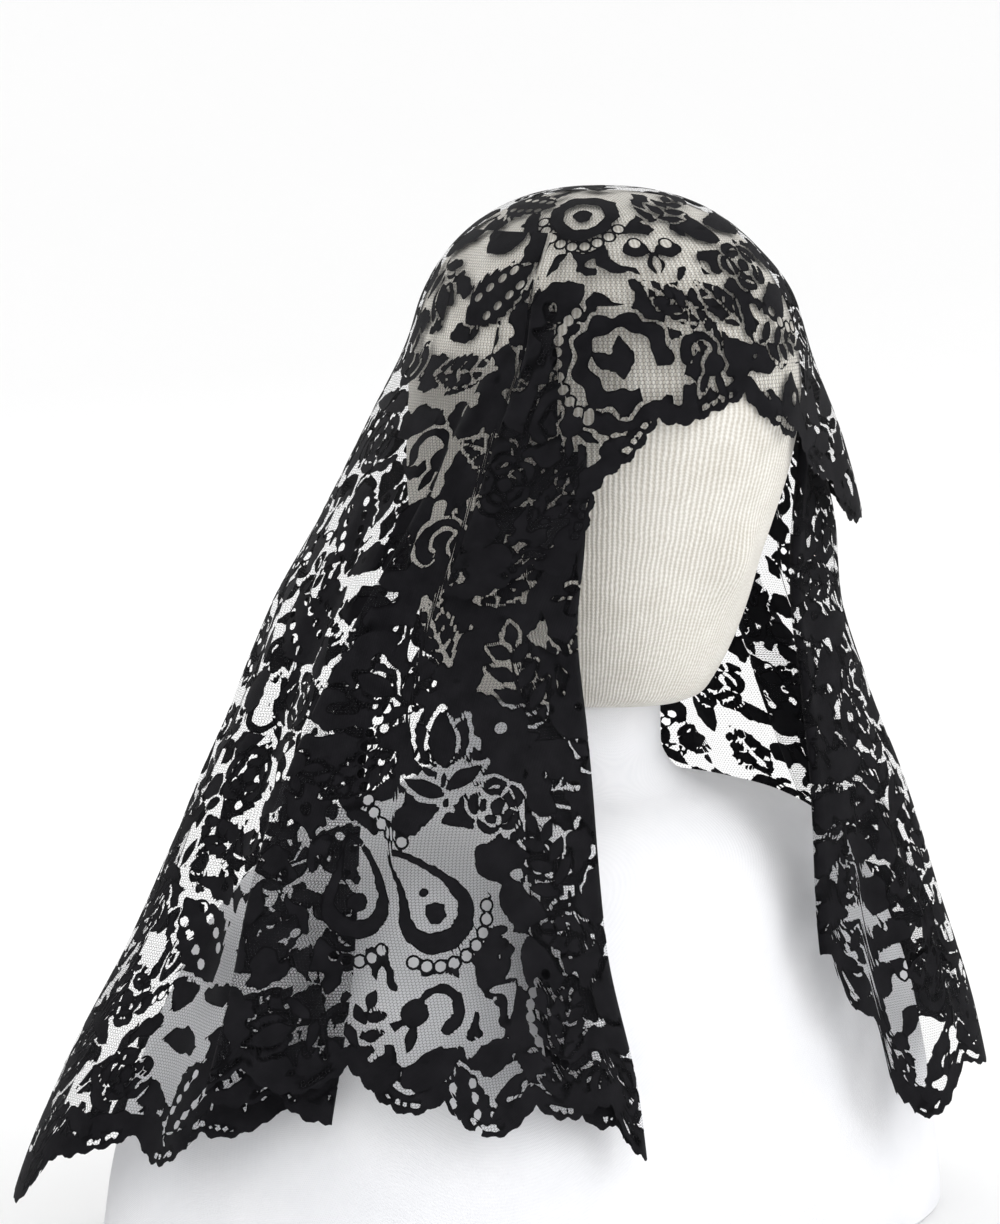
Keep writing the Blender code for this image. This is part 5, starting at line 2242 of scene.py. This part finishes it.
@dataclass
class Studio:
    """The floor, the lamps, the pale surroundings and the camera."""

    azimuth: float = -50.0
    elevation: float = 7.0
    distance: float = 2.2
    pixel: float = 0.000456
    image: tuple[int, int] = (1000, 1224)
    axis_pixel: tuple[float, float] = (605.0, 402.0)
    axis_height: float = 0.400
    floor_radius: float = 8.0
    floor_rings: int = 60
    floor_gap: float = 0.0002
    level_radius: float = 1.4
    rim_height: float = 3.4
    rim_power: float = 2.2
    surroundings: float = 1.13
    lamp_aim: tuple[float, float, float] = (0.0, 0.0, 0.25)
    sensor: float = 24.0
    lamps: tuple[SoftLight, ...] = (
        SoftLight("key_lamp", (-1.3, -1.5, 1.9), 1.4, 4.0),
        SoftLight("fill_lamp", (0.9, -2.0, 1.2), 1.6, 14.0),
        SoftLight("back_lamp", (0.9, 1.9, 1.6), 1.4, 8.0),
    )

    def floor(self, finish: Material) -> Piece:
        """A round floor under the form's flat base that rises to a rim all round.

        The rings widen by a power of 2, and past the level part the floor is at rim height * t^p,
        where t is the share of the way out to the rim and p the rim's power.

        Args:
            finish: the floor's material.

        Returns:
            The floor.
        """
        radius = self.floor_radius * np.linspace(0.0, 1.0, self.floor_rings)[1:, None] ** 2
        turn = np.radians(np.arange(0, 360, 3.0))[None, :]
        ring = np.stack([radius * np.cos(turn), radius * np.sin(turn), 0 * radius * turn], -1)
        points = np.concatenate([ring.reshape(-1, 3), [[0.0, 0.0, 0.0]]])
        out = np.hypot(points[:, 0], points[:, 1]) - self.level_radius
        share = np.clip(out / (self.floor_radius - self.level_radius), 0.0, 1.0)
        points[:, 2] = self.rim_height * share**self.rim_power - self.floor_gap
        middle = fan_triangles(len(points) - 1, np.arange(ring.shape[1]))
        triangles = np.concatenate([band_triangles(*ring.shape[:2]), middle])
        made = put_mesh("studio_floor", points, triangles, [finish])
        return made

    def light(self) -> None:
        """Puts up the lamps and the pale surroundings."""
        for lamp in self.lamps:
            data = bpy.data.lights.new(lamp.name, "AREA")
            data.energy, data.size = lamp.power, lamp.side
            made = bpy.data.objects.new(lamp.name, data)
            made.location = lamp.place
            made.rotation_mode = "QUATERNION"
            aim = Vector(self.lamp_aim) - Vector(lamp.place)
            made.rotation_quaternion = aim.to_track_quat("-Z", "Y")
            bpy.context.scene.collection.objects.link(made)
        world = bpy.data.worlds.new("pale_room")
        world.use_nodes = True
        background = world.node_tree.nodes["Background"]
        background.inputs[0].default_value = (1.0, 1.0, 1.0, 1.0)
        background.inputs[1].default_value = self.surroundings
        bpy.context.scene.world = world
        bpy.context.scene.view_settings.view_transform = "Standard"

    def camera(self) -> Piece:
        """The camera at the photograph's angle, its frame set by metres for one pixel.

        Returns:
            The camera.
        """
        a, e = math.radians(self.azimuth), math.radians(self.elevation)
        back = Vector((math.sin(a) * math.cos(e), -math.cos(a) * math.cos(e), math.sin(e)))
        right = Vector((math.cos(a), math.sin(a), 0.0))
        turn = (-back).to_track_quat("-Z", "Y")
        up = turn @ Vector((0.0, 1.0, 0.0))
        width, height = self.image
        aside = (width / 2 - self.axis_pixel[0]) * self.pixel
        below = (height / 2 - self.axis_pixel[1]) * self.pixel
        aim = Vector((0.0, 0.0, self.axis_height)) + right * aside - up * below
        data = bpy.data.cameras.new("studio_camera")
        data.sensor_fit = "VERTICAL"
        data.sensor_height = self.sensor
        data.lens = self.sensor * self.distance / (height * self.pixel)
        made = bpy.data.objects.new("studio_camera", data)
        made.location = aim + back * self.distance
        made.rotation_mode = "QUATERNION"
        made.rotation_quaternion = turn
        bpy.context.scene.collection.objects.link(made)
        bpy.context.scene.camera = made
        return made


@dataclass(frozen=True)
class DisplayForm:
    """The head in ribbed jersey and the bust in white cotton."""

    head: FormPart = FormPart("form_head", "jersey_head", "jersey", HEAD_ROWS, True)
    bust: FormPart = FormPart("form_bust", "cotton_bust", "white_cover", BUST_ROWS)

    def build(self) -> list[Piece]:
        """Both parts, dressed."""
        return [self.head.build(JerseyFinish().make()), self.bust.build(CoverFinish().make())]


@dataclass
class Mantilla:
    """The lace: the crown with its flaps, and four stretches of falls, whose nodes are three."""

    sides: tuple[float, ...] = (25.0, 98.5, 180.0, 262.0, 350.0)
    falls_down: float = 1.12

    def sheets(self) -> list[LaceSheet]:
        """The five sheets, each with its cut's flat size and area.

        Returns:
            The crown first, then the falls from the near front edge round to the far one.
        """
        falls, crown = falls_map(), crown_map()
        figures = [*spread_figures(falls, FALL_FIGURES, FALL_CHAINS), *FALL_FIGURES]
        hanging = LaceLayout(falls, figures, FALL_CHAINS, FallGround().density, self.falls_down)
        over_head = LaceLayout(
            crown, CROWN_FIGURES, CROWN_CHAINS, CrownGround().density, CROWN_DOWN
        )
        names, on_head = ("veil_front", "lace_crown_and_flaps"), ("jersey_head",)
        made = [CrownSheet(*names, over_head, (0.30, 0.22), 0.046, on_head, 0.0011)]
        # Columns: node, name, flat size, area, step round the falls, step down them
        stretches = (
            ("veil_right_fall", "lace_right_fall", (0.26, 0.40), 0.075, 0.0014, 0.0014),
            ("veil_back_fall", "lace_back_fall_right_half", (0.28, 0.45), 0.104, 0.0015, 0.0017),
            ("veil_back_fall", "lace_back_fall_left_half", (0.28, 0.45), 0.104, 0.0020, 0.0019),
            ("veil_left_fall", "lace_left_fall", (0.32, 0.41), 0.094, 0.0020, 0.0019),
        )
        on_form = ("cotton_bust", "jersey_head")
        for row, start, stop in zip(stretches, self.sides, self.sides[1:]):
            node, name, size, area, step, down = row
            sheet = FallSheet(node, name, hanging, size, area, on_form, step)
            sheet.row_step, sheet.start, sheet.stop = down, start, stop
            made.append(sheet)
        return made

    def build(self) -> list[Piece]:
        """All the sheets, dressed."""
        finishes = [ClothworkFinish().make(), NetFinish().make()]
        return [sheet.build(finishes) for sheet in self.sheets()]


def main() -> None:
    logging.basicConfig(level=logging.INFO, format="%(name)s: %(message)s")
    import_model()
    studio = Studio()
    studio.camera()
    for piece in (*DisplayForm().build(), *Mantilla().build()):
        LOG.info("%s: %d triangles", piece.name, len(piece.data.polygons))
    studio.light()
    studio.floor(StudioFinish().make())
    bpy.context.view_layer.update()


if __name__ == "__main__":
    main()
